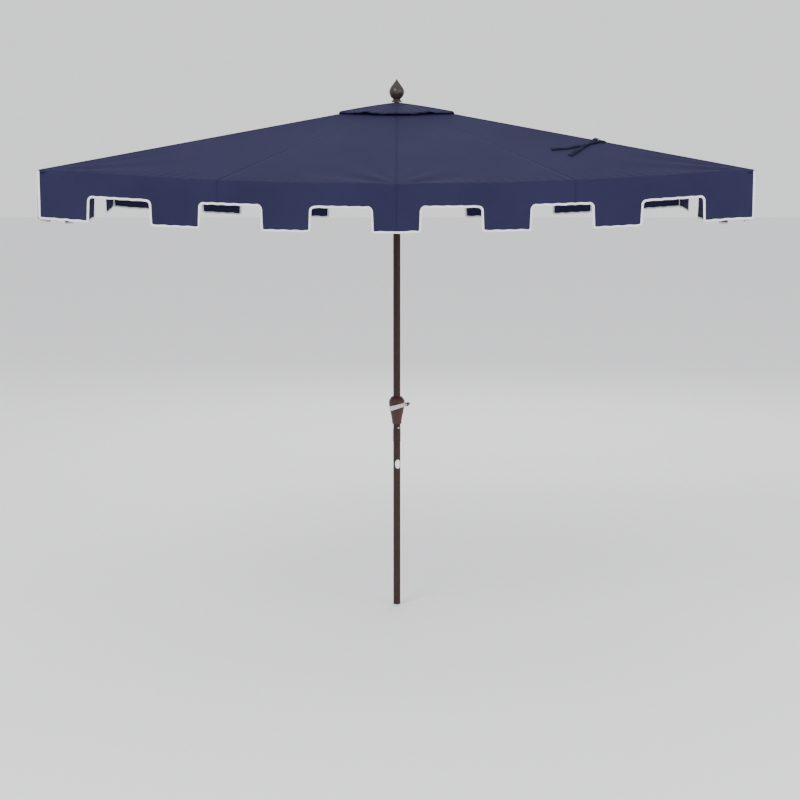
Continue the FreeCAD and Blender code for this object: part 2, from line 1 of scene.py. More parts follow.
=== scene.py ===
"""Finished looks of a rectangular crank-lift market umbrella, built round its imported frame.

The metal and plastic pieces of the frame keep their shapes and get detailed finishes. The
cloth is made here: twelve sewn half panels, a vent cap, a crenellated border with white
binding, rib pockets, seams and the closing strap. All lengths are in metres.
"""

from __future__ import annotations

import json
import logging
import math
from dataclasses import dataclass, field
from enum import Enum
from typing import Iterable

import bmesh
import bpy
from mathutils import Matrix, Vector, noise


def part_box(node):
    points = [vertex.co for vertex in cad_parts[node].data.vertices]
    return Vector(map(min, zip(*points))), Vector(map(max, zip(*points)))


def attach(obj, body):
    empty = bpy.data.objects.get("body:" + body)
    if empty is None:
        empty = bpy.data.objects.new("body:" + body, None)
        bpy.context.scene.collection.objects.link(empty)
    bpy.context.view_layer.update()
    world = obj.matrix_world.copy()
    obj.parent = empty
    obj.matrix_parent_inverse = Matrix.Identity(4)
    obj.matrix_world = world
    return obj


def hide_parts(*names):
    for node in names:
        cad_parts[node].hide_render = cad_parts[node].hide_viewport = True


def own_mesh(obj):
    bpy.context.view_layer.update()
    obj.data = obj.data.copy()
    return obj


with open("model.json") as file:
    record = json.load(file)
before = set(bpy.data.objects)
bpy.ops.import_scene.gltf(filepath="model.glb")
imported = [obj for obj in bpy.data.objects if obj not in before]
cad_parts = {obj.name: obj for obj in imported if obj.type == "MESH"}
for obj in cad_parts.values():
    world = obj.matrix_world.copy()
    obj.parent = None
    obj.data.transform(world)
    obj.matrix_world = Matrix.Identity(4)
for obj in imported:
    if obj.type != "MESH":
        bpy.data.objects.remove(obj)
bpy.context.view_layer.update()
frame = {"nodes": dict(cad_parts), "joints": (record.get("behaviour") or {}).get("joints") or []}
log = logging.getLogger("umbrella")

UP = Vector((0.0, 0.0, 1.0))
JOINTS = {joint["name"]: joint for joint in frame["joints"]}
SHORT_WEDGES = (2, 5)  # the wedges over the short sides, right and left
BAND_SCALE = 0.31831  # the wave texture's scale for bands about a metre apart


# ------------------------------------------------------------------ finishes
class NodeTree:
    """A material's node tree, with short calls for the nodes that the finishes share."""

    def __init__(self, name: str) -> None:
        """Start a material.

        Args:
            name: the material's name.
        """
        self.material = bpy.data.materials.new(name)
        self.material.use_nodes = True
        self.tree = self.material.node_tree
        self.shader = self.tree.nodes["Principled BSDF"]

    def node(self, kind: str, inputs: dict | None = None, **settings) -> bpy.types.Node:
        """Add a node.

        Args:
            kind: the node's type, without the ShaderNode prefix.
            inputs: values for its sockets by name or number.
            settings: the node's own properties.

        Returns:
            The new node.
        """
        made = self.tree.nodes.new("ShaderNode" + kind)
        for key, value in settings.items():
            setattr(made, key, value)
        for key, value in (inputs or {}).items():
            made.inputs[key].default_value = value
        return made

    def link(self, source: bpy.types.NodeSocket, target: bpy.types.NodeSocket) -> None:
        """Join two sockets."""
        self.tree.links.new(source, target)

    def place(self, uv: bool = False, scale: tuple[float, float, float] = (1, 1, 1)) -> bpy.types.NodeSocket:
        """Texture coordinates in metres, on the piece or along its cloth.

        Args:
            uv: True for the cloth's own flat coordinates.
            scale: how much the coordinates are stretched.

        Returns:
            The socket that holds them.
        """
        coordinates = self.node("TexCoord")
        mapping = self.node("Mapping", {"Scale": scale})
        self.link(coordinates.outputs["UV" if uv else "Object"], mapping.inputs["Vector"])
        return mapping.outputs["Vector"]

    def texture(self, kind: str, inputs: dict, output: str = "Fac", uv: bool = False,
                scale: tuple[float, float, float] = (1, 1, 1), **settings) -> bpy.types.NodeSocket:
        """A texture in metres.

        Args:
            kind: the texture's type, without the ShaderNodeTex prefix.
            inputs: values for its sockets.
            output: the name of the socket that is wanted.
            uv: True to lay it along the cloth.
            scale: how much its coordinates are stretched.
            settings: the node's own properties.

        Returns:
            The socket.
        """
        made = self.node("Tex" + kind, inputs, **settings)
        self.link(self.place(uv, scale), made.inputs["Vector"])
        return made.outputs[output]

    def cloud(self, scale: float, detail: float) -> bpy.types.NodeSocket:
        """A soft noise from 0 to 1."""
        return self.texture("Noise", {"Scale": scale, "Detail": detail, "Roughness": 0.55})

    def colors(self, factor: bpy.types.NodeSocket, low: tuple, high: tuple) -> None:
        """Colour the surface between two colours.

        Args:
            factor: the socket that chooses, from 0 to 1.
            low: the colour at a factor of 0.3 and less.
            high: the colour at a factor of 0.7 and more.
        """
        ramp = self.node("ValToRGB")
        ramp.color_ramp.elements[0].position = 0.3
        ramp.color_ramp.elements[1].position = 0.7
        ramp.color_ramp.elements[0].color = (*low, 1.0)
        ramp.color_ramp.elements[1].color = (*high, 1.0)
        self.link(factor, ramp.inputs["Fac"])
        self.link(ramp.outputs["Color"], self.shader.inputs["Base Color"])

    def relief(self, layers: Iterable[tuple[bpy.types.NodeSocket, float, float]]) -> None:
        """Bump from several heights.

        Args:
            layers: (height socket, strength, depth in metres) from the coarsest to the finest.
        """
        below = None
        for height, strength, depth in layers:
            bump = self.node("Bump", {"Strength": strength, "Distance": depth})
            self.link(height, bump.inputs["Height"])
            if below is not None:
                self.link(below, bump.inputs["Normal"])
            below = bump.outputs["Normal"]
        self.link(below, self.shader.inputs["Normal"])

    def roughness(self, factor: bpy.types.NodeSocket, low: float, high: float) -> None:
        """Roughness that follows a factor between two values.

        Args:
            factor: the socket that chooses, from 0 to 1.
            low: the roughness at 0.
            high: the roughness at 1.
        """
        spread = self.node("MapRange", {"To Min": low, "To Max": high})
        self.link(factor, spread.inputs["Value"])
        self.link(spread.outputs["Result"], self.shader.inputs["Roughness"])

    def sockets(self, **values: float | tuple) -> None:
        """Set constant values on the shader's own sockets, with _ for a space in a name."""
        for key, value in values.items():
            self.shader.inputs[key.replace("_", " ")].default_value = value


@dataclass(frozen=True)
class WovenCloth:
    """Solution-dyed polyester canvas: a plain weave with soft creases and slight fading."""

    name: str
    color: tuple[float, float, float]
    faded: tuple[float, float, float]
    thread: float = 0.0011
    crease_depth: float = 0.0012

    def material(self) -> bpy.types.Material:
        """Build the cloth.

        Returns:
            The material.
        """
        tree = NodeTree(self.name)
        mottle = tree.cloud(3.2, 5.0)
        tree.colors(mottle, self.color, self.faded)
        crease = tree.texture("Noise", {"Scale": 7.0, "Detail": 3.0, "Roughness": 0.6, "Distortion": 0.6},
                              scale=(1.0, 1.0, 0.6))
        weave = tree.node("Math", operation="MULTIPLY")
        for number, direction in enumerate(("X", "Y")):
            threads = tree.texture("Wave", {"Scale": BAND_SCALE / self.thread, "Distortion": 0.4},
                                   uv=True, bands_direction=direction)
            tree.link(threads, weave.inputs[number])
        tree.relief([(crease, 0.35, self.crease_depth),
                     (weave.outputs["Value"], 0.25, 0.0002)])
        tree.roughness(mottle, 0.82, 0.92)
        tree.sockets(Sheen_Weight=0.02, Sheen_Roughness=0.45, Sheen_Tint=(0.62, 0.62, 0.95, 1.0))
        tree.sockets(Specular_IOR_Level=0.06)
        return tree.material


@dataclass(frozen=True)
class BindingTape:
    """White twill binding with a row of stitches along its inner edge."""

    name: str
    color: tuple[float, float, float]
    shade: tuple[float, float, float]
    stitch: float = 0.004

    def material(self) -> bpy.types.Material:
        """Build the tape. Its flat coordinates run along the tape in metres, and across it from 0 to 1.

        Returns:
            The material.
        """
        tree = NodeTree(self.name)
        grime = tree.cloud(26.0, 4.0)
        tree.colors(grime, self.color, self.shade)
        twill = tree.texture("Wave", {"Scale": 260.0, "Distortion": 0.2}, uv=True,
                             scale=(1.0, 0.006, 1.0), bands_direction="DIAGONAL")
        stitches = tree.texture("Wave", {"Scale": BAND_SCALE / self.stitch}, uv=True,
                                scale=(1.0, 0.0, 0.0), bands_direction="X")
        tree.relief([(stitches, 0.3, 0.0004), (twill, 0.3, 0.0002)])
        tree.roughness(grime, 0.70, 0.85)
        tree.sockets(Sheen_Weight=0.1, Specular_IOR_Level=0.3)
        return tree.material


@dataclass(frozen=True)
class PowderCoat:
    """Baked powder coat: fine orange peel, a faint metallic fleck and rubbed patches."""

    name: str
    color: tuple[float, float, float]
    rubbed: tuple[float, float, float]
    rough: float = 0.36
    metallic: float = 0.35
    peel: float = 900.0
    gloss: float = 0.22

    def material(self) -> bpy.types.Material:
        """Build the coat.

        Returns:
            The material.
        """
        tree = NodeTree(self.name)
        wear = tree.cloud(38.0, 6.0)
        tree.colors(wear, self.color, self.rubbed)
        peel = tree.texture("Noise", {"Scale": self.peel, "Detail": 2.0})
        tree.relief([(peel, 0.22, 0.00025)])
        tree.roughness(wear, self.rough - 0.05, self.rough + 0.09)
        tree.sockets(Metallic=self.metallic, Specular_IOR_Level=self.gloss)
        return tree.material


@dataclass(frozen=True)
class MouldedPlastic:
    """Moulded plastic with a fine spark-eroded grain and slight mottling."""

    name: str
    color: tuple[float, float, float]
    lighter: tuple[float, float, float]
    rough: float = 0.5
    grain: float = 1300.0
    gloss: float = 0.30

    def material(self) -> bpy.types.Material:
        """Build the plastic.

        Returns:
            The material.
        """
        tree = NodeTree(self.name)
        tone = tree.cloud(22.0, 3.0)
        tree.colors(tone, self.color, self.lighter)
        grain = tree.texture("Voronoi", {"Scale": self.grain}, output="Distance")
        flow = tree.cloud(60.0, 2.0)
        tree.relief([(flow, 0.12, 0.0004), (grain, 0.2, 0.0002)])
        tree.roughness(tone, self.rough - 0.06, self.rough + 0.08)
        tree.sockets(Specular_IOR_Level=self.gloss)
        return tree.material


@dataclass(frozen=True)
class BareMetal:
    """Cast, turned or plated metal with fine scratches drawn one way."""

    name: str
    color: tuple[float, float, float]
    darker: tuple[float, float, float]
    rough: float = 0.3
    drawn: tuple[float, float, float] = (1.0, 1.0, 0.06)

    def material(self) -> bpy.types.Material:
        """Build the metal.

        Returns:
            The material.
        """
        tree = NodeTree(self.name)
        tarnish = tree.cloud(45.0, 5.0)
        tree.colors(tarnish, self.color, self.darker)
        scratch = tree.texture("Noise", {"Scale": 1500.0, "Detail": 3.0, "Roughness": 0.7}, scale=self.drawn)
        tree.relief([(scratch, 0.15, 0.0002)])
        tree.roughness(tarnish, self.rough - 0.06, self.rough + 0.12)
        tree.sockets(Metallic=1.0)
        return tree.material


class Finish(Enum):
    """Every finish on the umbrella."""

    NAVY = WovenCloth("navy_canvas", (0.0185, 0.0180, 0.0480), (0.0225, 0.0220, 0.0560))
    NAVY_SEAM = WovenCloth(
        "navy_felled_seam", (0.0150, 0.0150, 0.0410), (0.0190, 0.0190, 0.0490), 0.0009, 0.0008)
    NAVY_LINING = WovenCloth(
        "navy_pocket_canvas", (0.0130, 0.0130, 0.0360), (0.0170, 0.0170, 0.0430), 0.0013)
    STRAP = WovenCloth(
        "navy_strap_canvas", (0.0060, 0.0065, 0.0190), (0.0090, 0.0100, 0.0260), 0.0010, 0.0008)
    BINDING = BindingTape("white_binding", (0.80, 0.80, 0.82), (0.68, 0.68, 0.71))
    POLE = PowderCoat("bronze_powder_coat", (0.027, 0.0120, 0.0080), (0.037, 0.0175, 0.0125), 0.42, 0.05)
    RIB = PowderCoat("bronze_rib_coat", (0.032, 0.0175, 0.0125), (0.045, 0.0260, 0.0190), 0.44, 0.05)
    FINIAL = PowderCoat(
        "dark_bronze_cast_coat", (0.036, 0.0290, 0.0270), (0.060, 0.0490, 0.0440), 0.28, 0.30, 420.0)
    HOUSING = MouldedPlastic("brown_housing_plastic", (0.042, 0.0145, 0.0110), (0.056, 0.0205, 0.0160), 0.38)
    HUB = MouldedPlastic("black_nylon", (0.020, 0.016, 0.015), (0.030, 0.025, 0.023), 0.52)
    KNOB = MouldedPlastic("black_grip_plastic", (0.016, 0.014, 0.014), (0.028, 0.025, 0.025), 0.36, 900.0)
    PLUG = MouldedPlastic("black_foot_plastic", (0.012, 0.011, 0.011), (0.022, 0.020, 0.020), 0.60)
    NATURAL = MouldedPlastic("natural_nylon", (0.55, 0.52, 0.45), (0.63, 0.60, 0.53), 0.45)
    VINYL = MouldedPlastic("white_vinyl", (0.78, 0.78, 0.76), (0.86, 0.86, 0.84), 0.35, 700.0)
    CRANK = BareMetal("satin_cast_zinc", (0.62, 0.61, 0.59), (0.50, 0.49, 0.47), 0.30)
    STEEL = BareMetal("zinc_plated_steel", (0.56, 0.56, 0.57), (0.42, 0.42, 0.43), 0.34)

    def dress(self, piece: bpy.types.Object) -> None:
        """Give a piece this finish in all its slots.

        Args:
            piece: the mesh object to dress.
        """
        if self.value.name not in bpy.data.materials:
            self.value.material()
        finish = bpy.data.materials[self.value.name]
        if not piece.data.materials:
            piece.data.materials.append(finish)
        for slot in piece.material_slots:
            slot.material = finish


# ------------------------------------------------------------------ mesh helpers
def make_piece(name: str, points: list[Vector], faces: list[tuple], uvs: list[tuple[float, float]] | None,
               finish: Finish) -> bpy.types.Object:
    """Make a mesh object, shaded smooth.

    Args:
        name: the piece's name.
        points: its vertices in the frame of the whole umbrella.
        faces: vertex numbers of each face.
        uvs: flat coordinates of each vertex, or None for none.
        finish: its finish.

    Returns:
        The new piece.
    """
    mesh = bpy.data.meshes.new(name)
    mesh.from_pydata([tuple(p) for p in points], [], faces)
    mesh.validate()
    if uvs is not None:
        layer = mesh.uv_layers.new(name="cloth")
        for loop in mesh.loops:
            layer.data[loop.index].uv = uvs[loop.vertex_index]
    mesh.polygons.foreach_set("use_smooth", [True] * len(mesh.polygons))
    piece = bpy.data.objects.new(name, mesh)
    bpy.context.scene.collection.objects.link(piece)
    finish.dress(piece)
    return piece


def grid_faces(rows: int, columns: int, flip: bool = False) -> list[tuple]:
    """Faces of a grid of vertices stored row by row.

    Args:
        rows: rows of vertices.
        columns: vertices in a row.
        flip: True to turn the faces over.

    Returns:
        The four vertex numbers of each face.
    """
    faces = []
    for r in range(rows - 1):
        for c in range(columns - 1):
            a = r * columns + c
            face = (a, a + 1, a + columns + 1, a + columns)
            faces.append(face[::-1] if flip else face)
    return faces


def ring_faces(rings: int, around: int, first: int = 0, last: bool = False) -> list[tuple]:
    """Faces between rings of vertices, each ring closed on itself.

    Args:
        rings: how many rings there are.
        around: vertices in a ring.
        first: number of the first vertex.
        last: True to join the last ring to the first one as well.

    Returns:
        The four vertex numbers of each face.
    """
    faces = []
    for ring in range(rings if last else rings - 1):
        inner, outer = first + ring * around, first + (ring + 1) % rings * around
        for k in range(around):
            n = (k + 1) % around
            faces.append((inner + k, outer + k, outer + n, inner + n))
    return faces


def thicken(piece: bpy.types.Object, thickness: float, offset: float) -> None:
    """Give a sheet its thickness with a modifier that follows it as it folds.

    Args:
        piece: the sheet.
        thickness: its thickness.
        offset: 1 to grow outward, -1 inward and 0 both ways.
    """
    shell = piece.modifiers.new("cloth thickness", "SOLIDIFY")
    shell.thickness = thickness
    shell.offset = offset


def face_up(piece: bpy.types.Object) -> None:
    """Turn a sheet's faces so that they look up or outward.

    Args:
        piece: the sheet.
    """
    total = sum((polygon.normal.z * polygon.area for polygon in piece.data.polygons), 0.0)
    if total < 0:
        piece.data.flip_normals()


def fix_normals(piece: bpy.types.Object) -> None:
    """Make a closed piece's faces all look outward.

    Args:
        piece: the closed piece.
    """
    work = bmesh.new()
    work.from_mesh(piece.data)
    bmesh.ops.recalc_face_normals(work, faces=work.faces)
    work.to_mesh(piece.data)
    work.free()


def beside_rib(tip: Vector) -> Vector:
    """The level direction square to the rib that ends at a tip."""
    return UP.cross(Vector((tip.x, tip.y, 0)).normalized())


def seam_strip(name: str, rib: str, points: list[Vector], uvs: list, columns: int) -> bpy.types.Object:
    """Make a raised strip of cloth that lies along a rib.

    Args:
        name: the strip's name.
        rib: the rib that it is sewn over.
        points: its vertices, row by row from the hub outward.
        uvs: flat coordinates of each vertex.
        columns: vertices in a row.

    Returns:
        The strip.
    """
    faces = grid_faces(len(points) // columns, columns)
    piece = make_piece(name, points, faces, uvs, Finish.NAVY_SEAM)
    face_up(piece)
    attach(piece, f"rib_{rib}_arm")
    return piece


@dataclass(frozen=True)
class Cut:
    """The flat cut of a piece of cloth: width, length and area."""

    width: float
    length: float
    area: float

    @classmethod
    def triangle(cls, apex: Vector, tip: Vector, middle: Vector, open_share: float, hem: float = 0.0) -> Cut:
        """A triangular cut with its point taken off.

        Args:
            apex: where its point would be.
            tip: the end of its base at the rib.
            middle: the other end of its base.
            open_share: share of its height that is taken off.
            hem: depth of the cloth turned under along the base.

        Returns:
            The cut, worked out from the straight lines between these places.
        """
        base = (middle - tip).length
        height = (tip - apex).cross(middle - apex).length / base
        return cls(base, height + hem, 0.5 * base * height * (1 - open_share**2) + base * hem)

    @classmethod
    def rectangle(cls, width: float, length: float) -> Cut:
        """A rectangular cut."""
        return cls(width, length, width * length)

    def declare(self, piece: bpy.types.Object, held: str, rests_on: list[str],
                with_pieces: Iterable[bpy.types.Object] = ()) -> None:
        """Take a piece of cloth cut to this size; nothing is done with it.

        Args:
            piece: the cloth; not used.
            held: how it is held; not used.
            rests_on: what it lies on or hangs from; not used.
            with_pieces: the pieces sewn to it; not used.
        """


def smoothstep(low: float, high: float, value: float) -> float:
    """A smooth rise from 0 at low to 1 at high."""
    t = min(1.0, max(0.0, (value - low) / (high - low)))
    return t * t * (3 - 2 * t)


def lerp(a: float, b: float, t: float) -> float:
    """The value a share t of the way from a to b."""
    return a + (b - a) * t


# ------------------------------------------------------------------ the cloth's shape
class Side(Enum):
    """The four sides of the canopy: outward direction, and direction along the edge."""

    FRONT = (Vector((0, -1, 0)), Vector((1, 0, 0)))
    RIGHT = (Vector((1, 0, 0)), Vector((0, 1, 0)))
    REAR = (Vector((0, 1, 0)), Vector((-1, 0, 0)))
    LEFT = (Vector((-1, 0, 0)), Vector((0, -1, 0)))

    @property
    def outward(self) -> Vector:
        """The level direction away from the pole."""
        return self.value[0]

    @property
    def along(self) -> Vector:
        """The level direction along the edge, with the canopy on its left."""
        return self.value[1]


@dataclass(frozen=True)
class Half:
    """One of the two half panels that are sewn to a rib."""

    rib: str
    wedge: int
    starts_at_rib: bool
    kind: str  # long or short, for the side of the canopy that the half hangs to

    @property
    def rib_body(self) -> str:
        """The moving body that the half is sewn to."""
        return f"rib_{self.rib}_arm"

    @property
    def part(self) -> str:
        """The half's own word in the name of a piece.

        Returns:
            The word.
        """
        if self.rib.endswith("mid"):
            return "after" if self.starts_at_rib else "before"
        return self.kind

    def share(self, column: int, columns: int) -> float:
        """Share of the way along the wedge of a column, counted from the rib to the middle."""
        part = 0.5 * column / (columns - 1)
        return part if self.starts_at_rib else 1 - part

    @property
    def flap(self) -> str:
        """The name of the border piece below the half."""
        return self.rib if self.rib.endswith("mid") else f"{self.rib}_{self.kind}"


@dataclass
class CanopyShape:
    """The canopy's surface: six wedges between the rib tips, drawn from the apex to the edge."""

    apex_z: float = 2.447
    vent_share: float = 0.120
    long_sag: float = 0.014
    short_sag: float = 0.050
    above_frame: float = 0.0009
    pucker_depth: float = 0.0011
    pucker_pitch: float = 0.052
    tension_depth: float = 0.0035
    tension_share: float = 0.16
    tension_reach: float = 0.36
    tension_folds: float = 11.0
    drift_depth: float = 0.006
    drift_scale: float = 1.7
    ribs: tuple[str, ...] = ("front_left", "front_mid", "front_right", "rear_right", "rear_mid", "rear_left")
    tips: list[Vector] = field(default_factory=list)

    def __post_init__(self) -> None:
        """Read the rib tips from the hinges that the border swings on."""
        for rib in self.ribs:
            name = "valance_swing_" + (rib if rib.endswith("mid") else rib + "_long")
            tip = Vector(JOINTS[name]["pos_m"])
            if rib.endswith("mid"):
                tip.y = math.copysign(abs(self.corner.y), tip.y)
            self.tips.append(tip)

    @property
    def corner(self) -> Vector:
        """The front right corner."""
        return Vector(JOINTS["valance_swing_front_right_long"]["pos_m"])

    @property
    def apex(self) -> Vector:
        """Where the panels would meet."""
        return Vector((0, 0, self.apex_z))

    def halves(self) -> list[Half]:
        """The twelve half panels.

        Returns:
            Two for each rib.
        """
        made = []
        for index, rib in enumerate(self.ribs):
            for starts in (True, False):
                wedge = index if starts else (index - 1) % 6
                kind = "short" if wedge in SHORT_WEDGES else "long"
                made.append(Half(rib, wedge, starts, kind))
        return made

    def sag(self, wedge: int) -> float:
        """How far the middle of a wedge's edge hangs below the line between its rib tips."""
        return self.short_sag if wedge in SHORT_WEDGES else self.long_sag

    def point(self, wedge: int, w: float, s: float) -> Vector:
        """A point of the cloth.

        Args:
            wedge: the wedge, numbered by the rib that it starts at.
            w: share of the way from that rib to the next, 0 to 1.
            s: share of the way from the apex to the edge, 0 to 1.

        Returns:
            The point.
        """
        a, b = self.tips[wedge], self.tips[(wedge + 1) % 6]
        edge = a.lerp(b, w)
        p = self.apex.lerp(edge, s)
        p.z += self.above_frame
        across = 4 * w * (1 - w)
        p.z -= self.sag(wedge) * across * s ** 1.6
        length = (b - a).length
        reach = min(w, 1 - w) * length
        away = smoothstep(0.01, 0.09, reach * s)
        if s > 0.9:
            wave = math.sin(reach / self.pucker_pitch * math.tau)
            p.z += self.pucker_depth * away * smoothstep(0.9, 1.0, s) * wave
        near_tip = math.exp(-(((1 - s) / self.tension_share) ** 2) - (reach / self.tension_reach) ** 2)
        fan = math.atan2((1 - s) * 1.3, reach + 0.02)
        p.z += self.tension_depth * away * near_tip * math.sin(fan * self.tension_folds + wedge)
        soft = noise.noise(Vector((p.x * self.drift_scale, p.y * self.drift_scale, wedge * 3.1)))
        p.z += self.drift_depth * soft * away * math.sin(math.pi * min(1.0, s)) * across
        return p

    def surface(self, x: float, y: float) -> Vector:
        """The cloth's point above a place in plan.

        Args:
            x: the place's distance to the right of the pole.
            y: its distance behind the pole.

        Returns:
            The point.
        """
        half_x, half_y = abs(self.corner.x), abs(self.corner.y)
        s = max(abs(x) / half_x, abs(y) / half_y, 1e-6)
        if abs(y) / half_y >= abs(x) / half_x:
            share = x / s / half_x * (-1 if y > 0 else 1)
            first = 3 if y > 0 else 0
            return self.point(first, share + 1, s) if share <= 0 else self.point(first + 1, share, s)
        turned = y / s * (1 if x > 0 else -1)
        return self.point(2 if x > 0 else 5, (turned + half_y) / (2 * half_y), s)

    def edge_point(self, side: Side, d: float) -> Vector:
        """A point of the canopy's edge.

        Args:
            side: the side of the canopy.
            d: distance along that side from its middle.

        Returns:
            The point, on the surface of the panels.
        """
        x, y = abs(self.corner.x), abs(self.corner.y)
        if side in (Side.FRONT, Side.REAR):
            first = 0 if side is Side.FRONT else 3
            share = (d + x) / x
            if share <= 1:
                return self.point(first, share, 1.0)
            return self.point(first + 1, min(share - 1, 1.0), 1.0)
        return self.point(2 if side is Side.RIGHT else 5, (d + y) / (2 * y), 1.0)

    def fold(self, half: Half) -> tuple[Vector, Vector]:
        """The level-plane way that a half panel gathers to its rib.

        Args:
            half: the half panel.

        Returns:
            The direction across the half panel, square to its rib, and the rib's tip.
        """
        index = self.ribs.index(half.rib)
        tip = self.tips[index]
        seam = self.point(half.wedge, 0.5, 1.0)
        down = (tip - self.apex).normalized()
        across = seam - tip
        return (across - down * across.dot(down)).normalized(), tip


@dataclass
class Gather:
    """Shares of cloth width left along the ribs when the canopy closes, and the bodies that the cloth rides
    on.
    """

    long_keep: float = 0.14
    mid_keep: float = 0.09
    short_keep: float = 0.08
    cap_keep: float = 0.26

    def keep(self, half: Half) -> float:
        """The share of a half panel's width that is left.

        Args:
            half: the half panel.

        Returns:
            The share.
        """
        if half.rib.endswith("mid"):
            return self.mid_keep
        return self.short_keep if half.kind == "short" else self.long_keep

    def panel(self, piece: bpy.types.Object, shape: CanopyShape, half: Half,
              keep: float | None = None) -> None:
        """Make a piece of a half panel ride on its rib.

        Args:
            piece: the piece.
            shape: the canopy's shape.
            half: the half panel that it belongs to.
            keep: the share of its width that is left, or None for that of the half panel; not used.
        """
        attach(piece, half.rib_body)
        across, tip = shape.fold(half)
        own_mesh(piece)

    def border(self, piece: bpy.types.Object, shape: CanopyShape, half: Half) -> None:
        """Make a piece of the border ride on its flap.

        Args:
            piece: the piece.
            shape: the canopy's shape.
            half: the half panel above it.
        """
        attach(piece, f"valance_{half.flap}_flap")
        across, tip = shape.fold(half)
        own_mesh(piece)


# ------------------------------------------------------------------ canopy panels
@dataclass
class Canopy:
    """The twelve half panels with their hip seams and rib pockets."""

    shape: CanopyShape
    gather: Gather
    rows: int = 56
    columns: int = 64
    cloth: float = 0.0008
    seam_width: float = 0.013
    seam_height: float = 0.0013
    seam_rolled: float = 1.05
    pocket_length: float = 0.16
    pocket_width: float = 0.044
    pocket_depth: float = 0.0262
    pocket_start: float = 0.010
    pocket_cloth: float = 0.0009

    def build(self) -> list[bpy.types.Object]:
        """Make every piece and hang each on its rib.

        Returns:
            The pieces.
        """
        made = []
        for half in self.shape.halves():
            made.append(self.half_panel(half))
        for index, rib in enumerate(self.shape.ribs):
            made.append(self.hip_seam(index, rib))
            made.append(self.pocket(index, rib))
        return made

    def half_panel(self, half: Half) -> bpy.types.Object:
        """Make one half panel.

        Args:
            half: which one.

        Returns:
            The piece.
        """
        rows, columns = self.rows, self.columns
        points, uvs = [], []
        for r in range(rows):
            s = lerp(self.shape.vent_share, 1.0, (r / (rows - 1)) ** 0.8)
            for c in range(columns):
                p = self.shape.point(half.wedge, half.share(c, columns), s)
                points.append(p)
                uvs.append((p.x, p.y))
        faces = grid_faces(rows, columns, flip=not half.starts_at_rib)
        piece = make_piece(f"canopy_panel_{half.rib}_{half.part}", points, faces, uvs, Finish.NAVY)
        face_up(piece)
        thicken(piece, self.cloth, 1.0)
        self.gather.panel(piece, self.shape, half)
        if half.starts_at_rib:
            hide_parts(f"canopy_{half.rib}")
        tips = self.shape.tips
        middle = tips[half.wedge].lerp(tips[(half.wedge + 1) % 6], 0.5)
        tip = tips[self.shape.ribs.index(half.rib)]
        cut = Cut.triangle(self.shape.apex, tip, middle, self.shape.vent_share)
        cut.declare(piece, "stretched", [f"rib_{half.rib}"])
        return piece

    def hip_seam(self, index: int, rib: str) -> bpy.types.Object:
        """Make the felled seam that runs over a rib, as a raised strip with rolled edges.

        Args:
            index: number of the rib.
            rib: its name.

        Returns:
            The piece.
        """
        steps, profile = 60, ((-1.0, 0.0), (-0.8, 0.9), (0.0, 1.0), (0.8, 0.9), (1.0, 0.0))
        tip = self.shape.tips[index]
        sideways = beside_rib(tip)
        points, uvs = [], []
        for step in range(steps):
            s = lerp(self.shape.vent_share + 0.005, 0.997, step / (steps - 1))
            middle = self.shape.point(index, 0.0, s)
            for place, lift in profile:
                across = place * self.seam_width / 2
                beside = middle + sideways * across
                resting = self.shape.surface(beside.x, beside.y)
                points.append(resting + UP * (lift * self.seam_height + self.cloth * 0.9))
                uvs.append((s * 2.0, across))
        piece = seam_strip(f"hip_seam_{rib}", rib, points, uvs, len(profile))
        length = (tip - self.shape.apex).length * (1 - self.shape.vent_share)
        Cut.rectangle(self.seam_width * self.seam_rolled, length).declare(piece, "stretched", [f"rib_{rib}"])
        return piece

    def pocket(self, index: int, rib: str) -> bpy.types.Object:
        """Make the reinforced pocket that is sewn under the canopy and holds a rib's tip.

        Args:
            index: number of the rib.
            rib: its name.

        Returns:
            The piece.
        """
        tip = self.shape.tips[index]
        inward = (self.shape.apex - tip).normalized()
        sideways = UP.cross(inward).normalized()
        rings, around = 11, 15
        points, uvs = [], []
        for r in range(rings):
            t = r / (rings - 1)
            start = tip + inward * (self.pocket_start + t * self.pocket_length)
            wide = self.pocket_width * (0.42 + 0.10 * math.sin(t * math.pi) + 0.10 * t)
            for k in range(around):
                angle = math.pi * k / (around - 1)
                beside = start + sideways * (wide * math.cos(angle))
                resting = self.shape.surface(beside.x, beside.y)
                ridge = self.shape.surface(start.x, start.y)
                bottom = ridge.z - self.pocket_depth * smoothstep(-0.10, 0.12, t)
                blend = math.sin(angle) ** 0.55
                points.append(Vector((beside.x, beside.y, lerp(resting.z - 0.0015, bottom, blend))))
                uvs.append((t * self.pocket_length, angle * wide))
        faces = grid_faces(rings, around)
        closing = len(points)
        points.append(tip + inward * 0.008 - UP * 0.005)
        uvs.append((0.0, 0.0))
        faces += [(k, k + 1, closing) for k in range(around - 1)]
        piece = make_piece(f"rib_pocket_{rib}", points, faces, uvs, Finish.NAVY_LINING)
        thicken(piece, self.pocket_cloth, 0.0)
        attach(piece, f"rib_{rib}_arm")
        girth = math.pi * math.hypot(self.pocket_width / 2, self.pocket_depth - 0.0025) / math.sqrt(2)
        Cut.rectangle(girth, self.pocket_length).declare(piece, "stretched", [f"rib_tip_{rib}"])
        return piece


